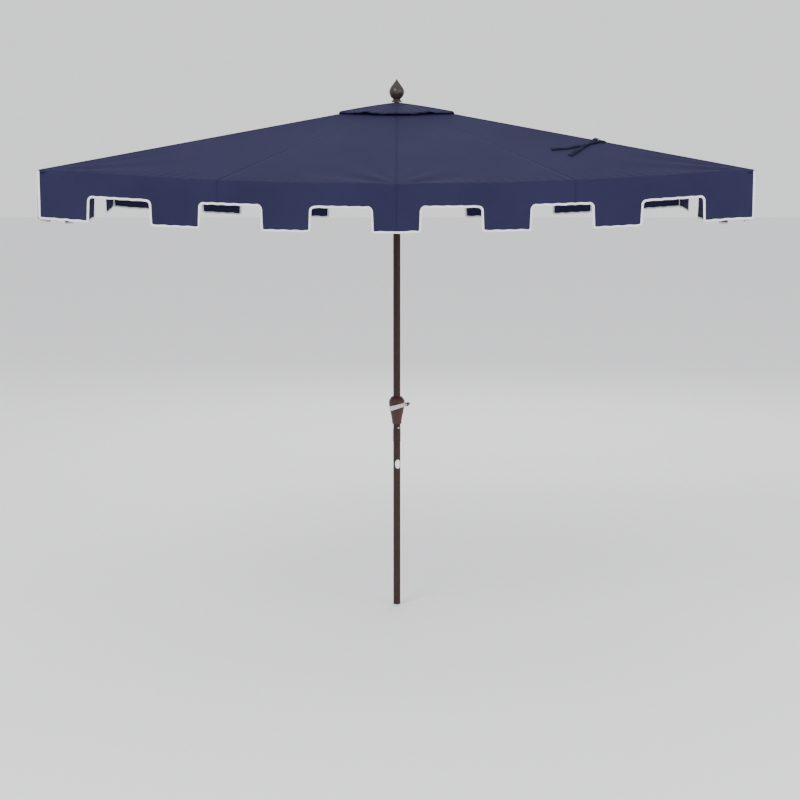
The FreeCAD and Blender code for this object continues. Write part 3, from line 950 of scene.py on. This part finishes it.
# ------------------------------------------------------------------ vent cap
@dataclass
class VentCap:
    """The raised cap over the vent, in one piece for each rib, with a rolled hem."""

    shape: CanopyShape
    gather: Gather
    length: float = 0.54
    width: float = 0.36
    top_z: float = 2.4520
    corner_z: float = 2.4045
    side_z: float = 2.4005
    mouth_lift: float = 0.008
    short_dip: float = 0.006
    long_dip: float = 0.004
    ripple_depth: float = 0.0016
    bow: float = 1.18
    hem: float = 0.012
    crown_radius: float = 0.066
    hole_radius: float = 0.007
    inner_radius: float = 0.024
    washer_radii: tuple[float, float, float] = (0.0056, 0.0150, 0.0156)
    cloth: float = 0.0008
    seam_half: float = 0.0045
    seam_height: float = 0.0011
    seam_lift: float = 0.0006
    crown_lift: float = 0.0012
    crown_rim_lift: float = 0.0003
    hem_drop: float = 0.0035
    rows: int = 30
    columns: int = 16

    def tips(self) -> list[Vector]:
        """Where the six ribs cross the cap's edge.

        Returns:
            One place for each rib.
        """
        x, y = self.length / 2, self.width / 2
        places = [(-x, -y), (0.0, -y), (x, -y), (x, y), (0.0, y), (-x, y)]
        return [Vector((px, py, self.side_z if px == 0 else self.corner_z)) for px, py in places]

    def point(self, wedge: int, w: float, s: float) -> Vector:
        """A point of the cap, as CanopyShape.point gives for the panels.

        Args:
            wedge: the wedge, numbered by the rib that it starts at.
            w: share of the way from that rib to the next.
            s: share of the way from the top to the cap's edge.

        Returns:
            The point.
        """
        tips = self.tips()
        a, b = tips[wedge], tips[(wedge + 1) % 6]
        edge = a.lerp(b, w)
        p = Vector((edge.x * s, edge.y * s, lerp(self.top_z, edge.z, s ** self.bow)))
        across = 4 * w * (1 - w)
        if wedge in SHORT_WEDGES:
            p.z -= self.short_dip * across * s * s
        else:
            mouth = math.exp(-(((w if wedge in (0, 3) else 1 - w) - 0.45) / 0.16) ** 2)
            p.z += self.mouth_lift * mouth * smoothstep(0.72, 1.0, s) - self.long_dip * across * s * s
        p.z += self.ripple_depth * across * math.sin(w * 31.0 + wedge * 2.0) * smoothstep(0.5, 1.0, s)
        if s > 0.985:
            p.z -= (s - 0.985) * 0.25
        return p

    def build(self) -> list[bpy.types.Object]:
        """Make the cap's pieces and its seams.

        Returns:
            The pieces.
        """
        made = [self.crown(), self.washer()]
        for half in self.shape.halves():
            made.append(self.half_piece(half))
        for index, rib in enumerate(self.shape.ribs):
            made.append(self.ridge(index, rib))
        return made

    def over(self, x: float, y: float) -> float:
        """The height of the cap above a place in plan, near its middle.

        Args:
            x: distance to the right of the pole.
            y: distance behind the pole.

        Returns:
            The height above the ground.
        """
        half_x, half_y = self.length / 2, self.width / 2
        s = max(abs(x) / half_x, abs(y) / half_y)
        edge_z = lerp(self.side_z, self.corner_z, min(1.0, abs(x) / max(s * half_x, 1e-9)))
        return lerp(self.top_z, edge_z, s ** self.bow)

    def crown(self) -> bpy.types.Object:
        """Make the round reinforcement that the finial clamps on the hub.

        Returns:
            The piece.
        """
        rings, around = 12, 72
        points, uvs = [], []
        for ring in range(rings):
            radius = lerp(self.hole_radius, self.crown_radius, min(1.0, ring / (rings - 2)))
            for k in range(around):
                angle = math.tau * k / around
                x, y = radius * math.cos(angle), radius * math.sin(angle)
                lift = self.crown_lift if ring < rings - 1 else self.crown_rim_lift
                points.append(Vector((x, y, self.over(x, y) + lift)))
                uvs.append((x, y))
        piece = make_piece("cap_crown", points, ring_faces(rings, around), uvs, Finish.NAVY)
        face_up(piece)
        thicken(piece, self.cloth, 1.0)
        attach(piece, "mast")
        wide = 2 * self.crown_radius
        ring = math.pi * (self.crown_radius**2 - self.hole_radius**2)
        Cut(wide, wide, ring).declare(piece, "stretched", ["crown_hub"])
        return piece

    def washer(self) -> bpy.types.Object:
        """Make the rubber washer between the crown and the finial.

        Returns:
            The piece.
        """
        low, high = self.top_z + 0.0019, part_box("finial")[0].z
        inner, outer, bulge = self.washer_radii
        profile = [(inner, low), (outer, low), (bulge, lerp(low, high, 0.5)), (outer, high), (inner, high)]
        around = 40
        points = [Vector((r * math.cos(math.tau * k / around), r * math.sin(math.tau * k / around), z))
                  for r, z in profile for k in range(around)]
        faces = ring_faces(len(profile), around, last=True)
        piece = make_piece("finial_washer", points, faces, None, Finish.PLUG)
        fix_normals(piece)
        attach(piece, "mast")
        return piece

    def half_piece(self, half: Half) -> bpy.types.Object:
        """Make one half of the cap's share of a rib.

        Args:
            half: the half panel below it.

        Returns:
            The piece.
        """
        points, uvs = [], []
        tips = self.tips()
        for r in range(self.rows):
            for c in range(self.columns):
                w = half.share(c, self.columns)
                edge = tips[half.wedge].lerp(tips[(half.wedge + 1) % 6], w)
                s = lerp(self.inner_radius / math.hypot(edge.x, edge.y), 1.0, r / (self.rows - 1))
                p = self.point(half.wedge, w, s)
                points.append(p)
                uvs.append((p.x, p.y))
        hem_points = len(points)
        for c in range(self.columns):
            w = half.share(c, self.columns)
            edge = tips[half.wedge].lerp(tips[(half.wedge + 1) % 6], w)
            p = self.point(half.wedge, w, 1.0 - self.hem / math.hypot(edge.x, edge.y))
            points.append(p - UP * self.hem_drop)
            uvs.append((p.x, p.y))
        faces = grid_faces(self.rows, self.columns)
        last = hem_points - self.columns
        faces += [(last + c, last + c + 1, hem_points + c + 1, hem_points + c)
                  for c in range(self.columns - 1)]
        if not half.starts_at_rib:
            faces = [face[::-1] for face in faces]
        piece = make_piece(f"vent_cap_{half.rib}_{half.part}", points, faces, uvs, Finish.NAVY)
        face_up(piece)
        thicken(piece, self.cloth, 1.0)
        self.gather.panel(piece, self.shape, half, self.gather.cap_keep)
        tip = tips[self.shape.ribs.index(half.rib)]
        middle = tips[half.wedge].lerp(tips[(half.wedge + 1) % 6], 0.5)
        reach = math.hypot(middle.x, middle.y)
        cut = Cut.triangle(Vector((0, 0, self.top_z)), tip, middle, self.inner_radius / reach, self.hem)
        cut.declare(piece, "stretched", [f"rib_{half.rib}"])
        return piece

    def ridge(self, index: int, rib: str) -> bpy.types.Object:
        """Make the seam of the cap over a rib.

        Args:
            index: number of the rib.
            rib: its name.

        Returns:
            The piece.
        """
        steps, profile = 24, ((-1.0, 0.0), (-0.7, 1.0), (0.7, 1.0), (1.0, 0.0))
        sideways = beside_rib(self.tips()[index])
        points, uvs = [], []
        for step in range(steps):
            s = lerp(0.11, 0.99, step / (steps - 1))
            middle = self.point(index, 0.0, s)
            for place, lift in profile:
                across = place * self.seam_half
                points.append(middle + sideways * across + UP * (lift * self.seam_height + self.seam_lift))
                uvs.append((s, across))
        return seam_strip(f"cap_seam_{rib}", rib, points, uvs, len(profile))


# ------------------------------------------------------------------ border and binding
@dataclass(frozen=True)
class Tab:
    """A tab of the border, as far as it lies on one length of it."""

    start: float
    end: float
    notch_before: bool
    notch_after: bool
    left: float
    right: float

    @classmethod
    def clipped(cls, whole: tuple[float, float], start: float, end: float, rounding: float) -> Tab:
        """The part of a tab on a length.

        Args:
            whole: where the tab starts and ends on its side.
            start: where the length starts.
            end: where it ends.
            rounding: radius of a notch's corner, which widens the tab at its root.

        Returns:
            The part.
        """
        low, high = max(whole[0], start), min(whole[1], end)
        before, after = low > start + 0.001, high < end - 0.001
        left, right = low - rounding * before, high + rounding * after
        return cls(low, high, before, after, left, right)


@dataclass
class Border:
    """The hanging border: square tabs, rounded notches, and white binding along its lower edge."""

    shape: CanopyShape
    gather: Gather
    drop: float = 0.205
    notch_depth: float = 0.105
    long_tabs: int = 7
    short_tabs: int = 4
    tab_to_notch: float = 0.86
    notch_round: float = 0.015
    tab_round: float = 0.012
    slant: float = 0.004
    flutter: float = 0.0042
    roll: float = 0.0016
    roll_reach: float = 0.004
    tuck_drop: float = 0.0003
    tape: float = 0.0085
    tape_half: float = 0.0013
    cloth: float = 0.0008
    band_step: float = 0.012
    tab_step: float = 0.010
    tuck: float = 0.002
    notch_steps: int = 12
    tab_steps: int = 20
    closest: float = 0.0004

    def build(self) -> list[bpy.types.Object]:
        """Make every length of the border with its binding.

        Returns:
            The pieces.
        """
        made = []
        for side in Side:
            made += self.build_side(side)
        return made

    def tabs_of(self, side: Side) -> list[tuple[float, float]]:
        """Where the tabs of one side start and end, from the middle of the side.

        Args:
            side: the side.

        Returns:
            The start and end of each tab.
        """
        is_long = side in (Side.FRONT, Side.REAR)
        count = self.long_tabs if is_long else self.short_tabs
        half = abs(self.shape.corner.x) if is_long else abs(self.shape.corner.y)
        notch = 2 * half / (count * self.tab_to_notch + count - 1)
        tab = notch * self.tab_to_notch
        return [(-half + n * (tab + notch), -half + n * (tab + notch) + tab) for n in range(count)]

    def build_side(self, side: Side) -> list[bpy.types.Object]:
        """Make the lengths of border on one side, one for each half panel.

        Args:
            side: the side.

        Returns:
            The pieces.
        """
        made = []
        is_long = side in (Side.FRONT, Side.REAR)
        half_side = abs(self.shape.corner.x) if is_long else abs(self.shape.corner.y)
        places = (-1.0, -0.5, 0.0, 0.5, 1.0) if is_long else (-1.0, 0.0, 1.0)
        cuts = [place * half_side for place in places]
        wedges = {Side.FRONT: (0, 0, 1, 1), Side.RIGHT: (2, 2), Side.REAR: (3, 3, 4, 4),
                  Side.LEFT: (5, 5)}[side]
        for number, wedge in enumerate(wedges):
            starts = number % 2 == 0
            rib = self.shape.ribs[wedge if starts else (wedge + 1) % 6]
            half = Half(rib, wedge, starts, "long" if is_long else "short")
            made += self.length(side, half, cuts[number], cuts[number + 1], half_side)
        return made

    def place(self, side: Side, d: float, h: float, off: float = 0.0) -> Vector:
        """A point of the border.

        Args:
            side: the side that it hangs from.
            d: distance along the side from its middle.
            h: distance below the canopy's edge.
            off: distance out of the cloth.

        Returns:
            The point.
        """
        top = self.shape.edge_point(side, d)
        if h < 0:
            under = self.shape.surface(top.x + side.outward.x * h, top.y + side.outward.y * h)
            return under - UP * self.tuck_drop
        free = h / self.drop
        number = list(Side).index(side)
        wave = math.sin(d * 9.1 + number * 1.9) * free + 0.55 * math.sin(d * 23.0 + number) * free * free
        curl = 0.3 * math.sin(d * 57.0) * smoothstep(0.6, 1.0, free)
        rolled = self.roll * (1 - math.exp(-h / self.roll_reach))
        return top + side.outward * (rolled + self.flutter * (wave + curl) + off) - UP * h

    def side_shift(self, h: float, flared: bool) -> float:
        """How far a tab's side stands out from its straight line at a depth.

        Args:
            h: the depth.
            flared: True where a notch lies beside the tab.

        Returns:
            The distance.
        """
        top, bottom = self.drop - self.notch_depth, self.drop
        shift = -self.slant * (h - top) / (bottom - top) if flared else 0.0
        if flared and h - top < self.notch_round:
            shift += self.notch_round - math.sqrt(self.notch_round**2 - (self.notch_round - (h - top)) ** 2)
        if bottom - h < self.tab_round:
            shift -= self.tab_round - math.sqrt(self.tab_round**2 - (self.tab_round - (bottom - h)) ** 2)
        return shift

    def depths(self) -> list[float]:
        """The depths of a tab's rows, closer together at its round corners.

        Returns:
            The depths, from the notches down.
        """
        top, bottom = self.drop - self.notch_depth, self.drop
        arc = [1 - math.cos(a * math.pi / 12) for a in range(7)]
        upper = [top + self.notch_round * a for a in arc]
        lower = [bottom - self.tab_round * a for a in reversed(arc)]
        between = [lerp(upper[-1], lower[0], t / 6) for t in range(1, 6)]
        return upper + between + lower

    def length(self, side: Side, half: Half, start: float, end: float,
               half_side: float) -> list[bpy.types.Object]:
        """Make the border below one half panel.

        Args:
            side: the side of the canopy.
            half: the half panel above it.
            start: where it starts along the side.
            end: where it ends.
            half_side: half the length of the side.

        Returns:
            The cloth and its binding.
        """
        top = self.drop - self.notch_depth
        tabs = [Tab.clipped(tab, start, end, self.notch_round) for tab in self.tabs_of(side)
                if tab[1] > start + 0.01 and tab[0] < end - 0.01]
        columns = self.columns(tabs, start, end)
        bands = [-self.tuck, 0.0, 0.0015, 0.004, 0.009, 0.02] + [lerp(0.02, top, t / 8) for t in range(1, 9)]
        flat = [(d, h) for h in bands for d in columns]
        faces = grid_faces(len(bands), len(columns))
        bottom_row = (len(bands) - 1) * len(columns)
        for tab in tabs:
            first = min(range(len(columns)), key=lambda i: abs(columns[i] - tab.left))
            last = min(range(len(columns)), key=lambda i: abs(columns[i] - tab.right))
            above = [bottom_row + i for i in range(first, last + 1)]
            shares = [(columns[i] - tab.left) / (tab.right - tab.left) for i in range(first, last + 1)]
            for h in self.depths()[1:]:
                low, high = self.tab_ends(tab, h)
                here = [len(flat) + i for i in range(len(shares))]
                flat += [(lerp(low, high, share), h) for share in shares]
                faces += [(above[i], above[i + 1], here[i + 1], here[i]) for i in range(len(here) - 1)]
                above = here
        if side.outward.cross(side.along).z > 0:
            faces = [face[::-1] for face in faces]
        points = [self.place(side, d, h) for d, h in flat]
        cloth = make_piece(f"border_{half.rib}_{half.part}", points, faces, flat, Finish.NAVY)
        thicken(cloth, self.cloth, 0.0)
        self.gather.border(cloth, self.shape, half)
        if half.part != "before":
            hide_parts(f"valance_{half.flap}")
        edge = self.lower_edge(tabs, start, end, half_side)
        tape = self.binding(f"binding_{half.rib}_{half.part}", side, edge)
        self.gather.border(tape, self.shape, half)
        area = top * (end - start) + self.notch_depth * sum(tab.end - tab.start for tab in tabs)
        Cut(self.drop, end - start, area).declare(cloth, "hung", [f"rib_tip_{half.rib}"], [tape])
        return [cloth, tape]

    def columns(self, tabs: list[Tab], start: float, end: float) -> list[float]:
        """Places of the vertices along a length, with one at each side of every tab.

        Args:
            tabs: the tabs on the length.
            start: where the length starts.
            end: where it ends.

        Returns:
            The distances along the side.
        """
        made, cursor = [], start
        for tab in tabs:
            if tab.left > cursor + 1e-6:
                count = max(2, round((tab.left - cursor) / self.band_step))
                made += [lerp(cursor, tab.left, i / count) for i in range(count)]
            count = max(4, round((tab.right - tab.left) / self.tab_step))
            made += [lerp(tab.left, tab.right, i / count) for i in range(count)]
            cursor = tab.right
        if end > cursor + 1e-6:
            count = max(2, round((end - cursor) / self.band_step))
            made += [lerp(cursor, end, i / count) for i in range(count)]
        return made + [end]

    def tab_ends(self, tab: Tab, h: float) -> tuple[float, float]:
        """Where a tab starts and ends at a depth.

        Args:
            tab: the tab.
            h: the depth.

        Returns:
            The two distances along the side.
        """
        left, right = self.side_shift(h, tab.notch_before), self.side_shift(h, tab.notch_after)
        return tab.start - left, tab.end + right

    def lower_edge(self, tabs: list[Tab], start: float, end: float,
                   half_side: float) -> list[tuple[float, float]]:
        """The (distance, depth) points of the bound edge from start to end.

        Args:
            tabs: the tabs between start and end.
            start: where the length starts.
            end: where it ends.
            half_side: half the length of the side.

        Returns:
            The points, up the cut end at a corner of the canopy.
        """
        top, rows = self.drop - self.notch_depth, self.depths()
        corner_start, corner_end = start < -half_side + 0.002, end > half_side - 0.002
        cut_end = [0.001, 0.02, 0.05, 0.08]
        line = [(start, top if tabs[0].notch_before else self.drop)]
        if corner_start:
            line = [(start, h) for h in cut_end]
        cursor = start
        for tab in tabs:
            if tab.notch_before:
                steps = self.notch_steps
                line += [(lerp(cursor, tab.left, t / steps), top) for t in range(1, steps)]
            if tab.notch_before or corner_start:
                line += [(self.tab_ends(tab, h)[0], h) for h in rows]
            low, high = self.tab_ends(tab, self.drop)
            line += [(lerp(low, high, t / self.tab_steps), self.drop) for t in range(1, self.tab_steps)]
            if tab.notch_after or corner_end:
                line += [(self.tab_ends(tab, h)[1], h) for h in reversed(rows)]
            cursor = tab.right
        if corner_end:
            line += [(end, h) for h in reversed(cut_end)]
        elif tabs[-1].notch_after:
            line += [(lerp(cursor, end, t / self.notch_steps), top) for t in range(1, self.notch_steps + 1)]
        else:
            line.append((end, self.drop))
        clean = [line[0]]
        for p in line[1:]:
            if math.dist(p, clean[-1]) > self.closest:
                clean.append(p)
        return clean

    def binding(self, name: str, side: Side, line: list[tuple[float, float]]) -> bpy.types.Object:
        """Fold a tape over the border's edge.

        Args:
            name: the piece's name.
            side: the side that the border hangs from.
            line: the edge as (distance, depth) points, with the cloth on its upper side.

        Returns:
            The tape.
        """
        outer_half = [(0.0085, 0.7), (0.0080, 1.0), (0.0004, 1.0), (-0.0008, 0.5)]
        profile = outer_half + [(-0.0010, 0.0)] + [(depth, -out) for depth, out in reversed(outer_half)]
        points, uvs, run = [], [], 0.0
        for i, (d, h) in enumerate(line):
            before, after = line[max(0, i - 1)], line[min(len(line) - 1, i + 1)]
            td, th = after[0] - before[0], after[1] - before[1]
            size = math.hypot(td, th) or 1.0
            inward = (th / size, -td / size)
            if i:
                run += math.dist(line[i - 1], (d, h))
            for depth, out in profile:
                reach = depth * self.tape / 0.0085
                points.append(self.place(side, d + inward[0] * reach, max(0.0, h + inward[1] * reach),
                                         out * self.tape_half))
                uvs.append((run, out * 0.5 + 0.5))
        around = len(profile)
        faces = grid_faces(len(line), around)
        faces += [(i * around, (i + 1) * around, (i + 2) * around - 1, (i + 1) * around - 1)
                  for i in range(len(line) - 1)]
        faces += [tuple(range(around))[::-1], tuple(range(len(points) - around, len(points)))]
        piece = make_piece(name, points, faces, uvs, Finish.BINDING)
        fix_normals(piece)
        return piece


# ------------------------------------------------------------------ closing strap
@dataclass
class TieStrap:
    """The closing strap, sewn to the front right hip, with its two tails on the front panel."""

    shape: CanopyShape
    width: float = 0.026
    thick: float = 0.0022
    along_hip: float = 0.60
    tail_lengths: tuple[float, float] = (0.235, 0.205)
    tail_ways: tuple[Vector, Vector] = (Vector((-0.95, -0.20, 0)), Vector((-0.80, -0.62, 0)))
    tail_keep: float = 0.2
    tail_lift: float = 0.0045
    tail_wave: float = 0.005
    crossing_lift: float = 0.0026
    patch_length: float = 0.042
    patch_width: float = 0.0336
    patch_turned: float = 0.004

    def build(self) -> list[bpy.types.Object]:
        """Make the sewn patch and the two tails."""
        return [self.tail(0), self.tail(1), self.patch()]

    def tail(self, number: int) -> bpy.types.Object:
        """Make one tail, draped from the hip with a soft wave.

        Args:
            number: 0 for the long tail and 1 for the short one.

        Returns:
            The tail.
        """
        hip = self.shape.point(2, 0.0, self.along_hip)
        direction = self.tail_ways[number].normalized()
        sideways = UP.cross(direction)
        steps, profile = 40, ((-1, 0), (-0.85, 1), (0.85, 1), (1, 0), (0.85, -1), (-0.85, -1))
        points, uvs = [], []
        for step in range(steps):
            t = step / (steps - 1)
            run = t * self.tail_lengths[number]
            bend = 0.020 * math.sin(t * 2.6 + number * 1.3) * (1 if number == 0 else -1)
            middle = hip + direction * run + sideways * bend
            wave = self.tail_wave * math.sin(t * 9.0 + number) ** 2 * (1 - 0.5 * t)
            lift = self.tail_lift + wave + number * self.crossing_lift * (1 - t)
            narrowed = self.width * (1.0 - 0.12 * math.sin(t * math.pi)) / 2
            for place, high in profile:
                beside = middle + sideways * (place * narrowed)
                flat = self.shape.surface(beside.x, beside.y)
                points.append(flat + UP * (lift + high * self.thick / 2))
                uvs.append((run, place * narrowed))
        around = len(profile)
        faces = ring_faces(steps, around)
        faces += [tuple(range(around)), tuple(range((steps - 1) * around, steps * around))]
        name = ("tie_strap_long_tail", "tie_strap_short_tail")[number]
        piece = make_piece(name, points, faces, uvs, Finish.STRAP)
        fix_normals(piece)
        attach(piece, "rib_front_right_arm")
        if number == 0:
            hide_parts("tie_strap")
        half = Half("front_right", 1, False, "long")
        across, tip = self.shape.fold(half)
        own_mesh(piece)
        cut = Cut.rectangle(self.width, self.tail_lengths[number])
        cut.declare(piece, "draped", ["canopy_panel_front_right_long"])
        return piece

    def patch(self) -> bpy.types.Object:
        """Make the doubled patch that sews the strap to the hip.

        Returns:
            The piece.
        """
        hip = self.shape.point(2, 0.0, self.along_hip)
        down = (self.shape.tips[2] - self.shape.apex).normalized()
        flat_down = Vector((down.x, down.y, 0)).normalized()
        sideways = UP.cross(flat_down)
        points, uvs, steps = [], [], 10
        for r in range(steps):
            for c in range(steps):
                u, v = r / (steps - 1) - 0.5, c / (steps - 1) - 0.5
                dome = 0.004 * (1 - (2 * abs(u)) ** 4) * (1 - (2 * abs(v)) ** 4)
                place = hip + flat_down * (u * self.patch_length) + sideways * (v * self.patch_width)
                points.append(self.shape.surface(place.x, place.y) + UP * (0.0035 + dome))
                uvs.append((u * self.patch_length, v * self.patch_length))
        piece = make_piece("tie_strap_patch", points, grid_faces(steps, steps), uvs, Finish.STRAP)
        face_up(piece)
        thicken(piece, 0.002, -1.0)
        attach(piece, "rib_front_right_arm")
        cut = Cut.rectangle(self.patch_width + self.patch_turned, self.patch_length + self.patch_turned)
        cut.declare(piece, "stretched", ["rib_front_right"])
        return piece


# ------------------------------------------------------------------ frame pieces
@dataclass
class Hardware:
    """The frame's own pieces, which keep their shapes, and the label stuck on the pole."""

    label_z: float = 0.705
    label_width: float = 0.029
    label_height: float = 0.044
    label_turn: float = -72.0
    label_thickness: float = 0.0003
    finishes: tuple[tuple[str, Finish], ...] = (
        ("lower_pole", Finish.POLE), ("upper_pole", Finish.POLE), ("foot_plug", Finish.PLUG),
        ("crank_housing", Finish.HOUSING), ("housing_screws", Finish.STEEL), ("crank_shaft", Finish.STEEL),
        ("crank_arm", Finish.CRANK), ("crank_knob", Finish.KNOB), ("snap_button", Finish.STEEL),
        ("button_spring", Finish.STEEL), ("crown_hub", Finish.HUB), ("hub_pins", Finish.STEEL),
        ("cord_pulley", Finish.NATURAL), ("pulley_pin", Finish.STEEL), ("finial_stud", Finish.STEEL),
        ("finial", Finish.FINIAL), ("runner_pins", Finish.STEEL), ("runner", Finish.HUB),
        ("rib_tip", Finish.HUB), ("rib_bracket", Finish.HUB), ("rib_", Finish.RIB), ("strut_", Finish.RIB),
    )

    def dress(self) -> None:
        """Give each frame piece its finish."""
        for name, piece in frame["nodes"].items():
            for start, finish in self.finishes:
                if name.startswith(start):
                    finish.dress(piece)
                    log.info("dressed %s in %s", name, finish.value.name)
                    break

    def on_pole(self, reach: float, turn: float, up: float) -> Vector:
        """A point over the label, by its distance from the pole's axis, its turn and its height."""
        turn += math.radians(self.label_turn)
        return Vector((math.cos(turn), math.sin(turn), 0)) * reach + UP * (self.label_z + up)

    def label(self) -> bpy.types.Object:
        """Stick the blank oval label on the lower pole.

        Returns:
            The piece.
        """
        low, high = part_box("lower_pole")
        radius = (high.x - low.x) / 2
        rings, around, lift = 7, 48, self.label_thickness
        points, uvs = [self.on_pole(radius + lift, 0.0, 0.0)], [(0.0, 0.0)]
        for ring in range(1, rings + 1):
            share = ring / rings
            for k in range(around):
                angle = math.tau * k / around
                across = math.cos(angle) * self.label_width / 2 * share
                up = math.sin(angle) * self.label_height / 2 * share
                out = lift if ring < rings else lift / 6
                points.append(self.on_pole(radius + out, across / radius, up))
                uvs.append((across, up))
        faces = [(0, 1 + k, 1 + (k + 1) % around) for k in range(around)]
        faces += ring_faces(rings, around, first=1)
        piece = make_piece("pole_label", points, faces, uvs, Finish.VINYL)
        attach(piece, "mast")
        return piece


# ------------------------------------------------------------------ studio
@dataclass
class Studio:
    """Camera, pale floor and soft light."""

    camera_distance: float = 8.486
    camera_height: float = 2.177
    camera_side: float = 0.0155
    pitch_down: float = 7.763
    lens: float = 78.91
    sensor: float = 36.0
    floor_half: float = 60.0
    lamp_size: float = 5.0
    lamp_aim: tuple[float, float, float] = (0.0, 0.0, 1.7)
    lamps: tuple[tuple[str, tuple[float, float, float], float], ...] = (
        ("key", (-4.5, -6.5, 7.5), 620.0),
        ("fill", (6.0, -5.0, 4.0), 260.0),
        ("rim", (1.0, 7.0, 6.0), 260.0),
    )

    def build(self) -> None:
        """Make the stage, the lights and the camera."""
        scene = bpy.context.scene
        camera = bpy.data.cameras.new("camera")
        camera.lens = self.lens
        camera.sensor_width = self.sensor
        eye = bpy.data.objects.new("camera", camera)
        eye.location = (self.camera_side, -self.camera_distance, self.camera_height)
        eye.rotation_euler = (math.radians(90 - self.pitch_down), 0, 0)
        scene.collection.objects.link(eye)
        scene.camera = eye
        self.floor()
        self.world()
        for lamp in self.lamps:
            self.light(*lamp)

    def floor(self) -> None:
        """Lay the pale floor."""
        h = self.floor_half
        corners = [Vector((-h, -h, 0)), Vector((h, -h, 0)), Vector((h, h, 0)), Vector((-h, h, 0))]
        mesh = bpy.data.meshes.new("floor")
        mesh.from_pydata([tuple(p) for p in corners], [], [(0, 1, 2, 3)])
        floor = bpy.data.objects.new("floor", mesh)
        bpy.context.scene.collection.objects.link(floor)
        tree = NodeTree("pale_floor")
        tree.sockets(Base_Color=(0.86, 0.86, 0.87, 1.0), Roughness=0.9)
        mesh.materials.append(tree.material)

    def world(self) -> None:
        """Light the scene evenly with a near-white surrounding."""
        world = bpy.data.worlds.new("studio")
        world.use_nodes = True
        back = world.node_tree.nodes["Background"]
        back.inputs["Color"].default_value = (0.97, 0.98, 1.0, 1.0)
        back.inputs["Strength"].default_value = 1.15
        bpy.context.scene.world = world

    def light(self, name: str, at: tuple[float, float, float], power: float) -> None:
        """Hang one soft panel that faces the canopy.

        Args:
            name: the light's name.
            at: where it hangs.
            power: its power in watts.
        """
        data = bpy.data.lights.new(name, "AREA")
        data.energy, data.size = power, self.lamp_size
        lamp = bpy.data.objects.new(name, data)
        lamp.location = at
        lamp.rotation_euler = (Vector(self.lamp_aim) - Vector(at)).to_track_quat("-Z", "Y").to_euler()
        bpy.context.scene.collection.objects.link(lamp)


def main() -> None:
    """Build the umbrella's looks in order and report each piece."""
    logging.basicConfig(level=logging.INFO, format="%(message)s")
    Studio().build()
    shape = CanopyShape()
    gather = Gather()
    for maker in (Canopy(shape, gather), VentCap(shape, gather), Border(shape, gather), TieStrap(shape)):
        for piece in maker.build():
            log.info("made %s with %d faces", piece.name, len(piece.data.polygons))
    hardware = Hardware()
    hardware.dress()
    log.info("made %s", hardware.label().name)


if __name__ == "__main__":
    main()
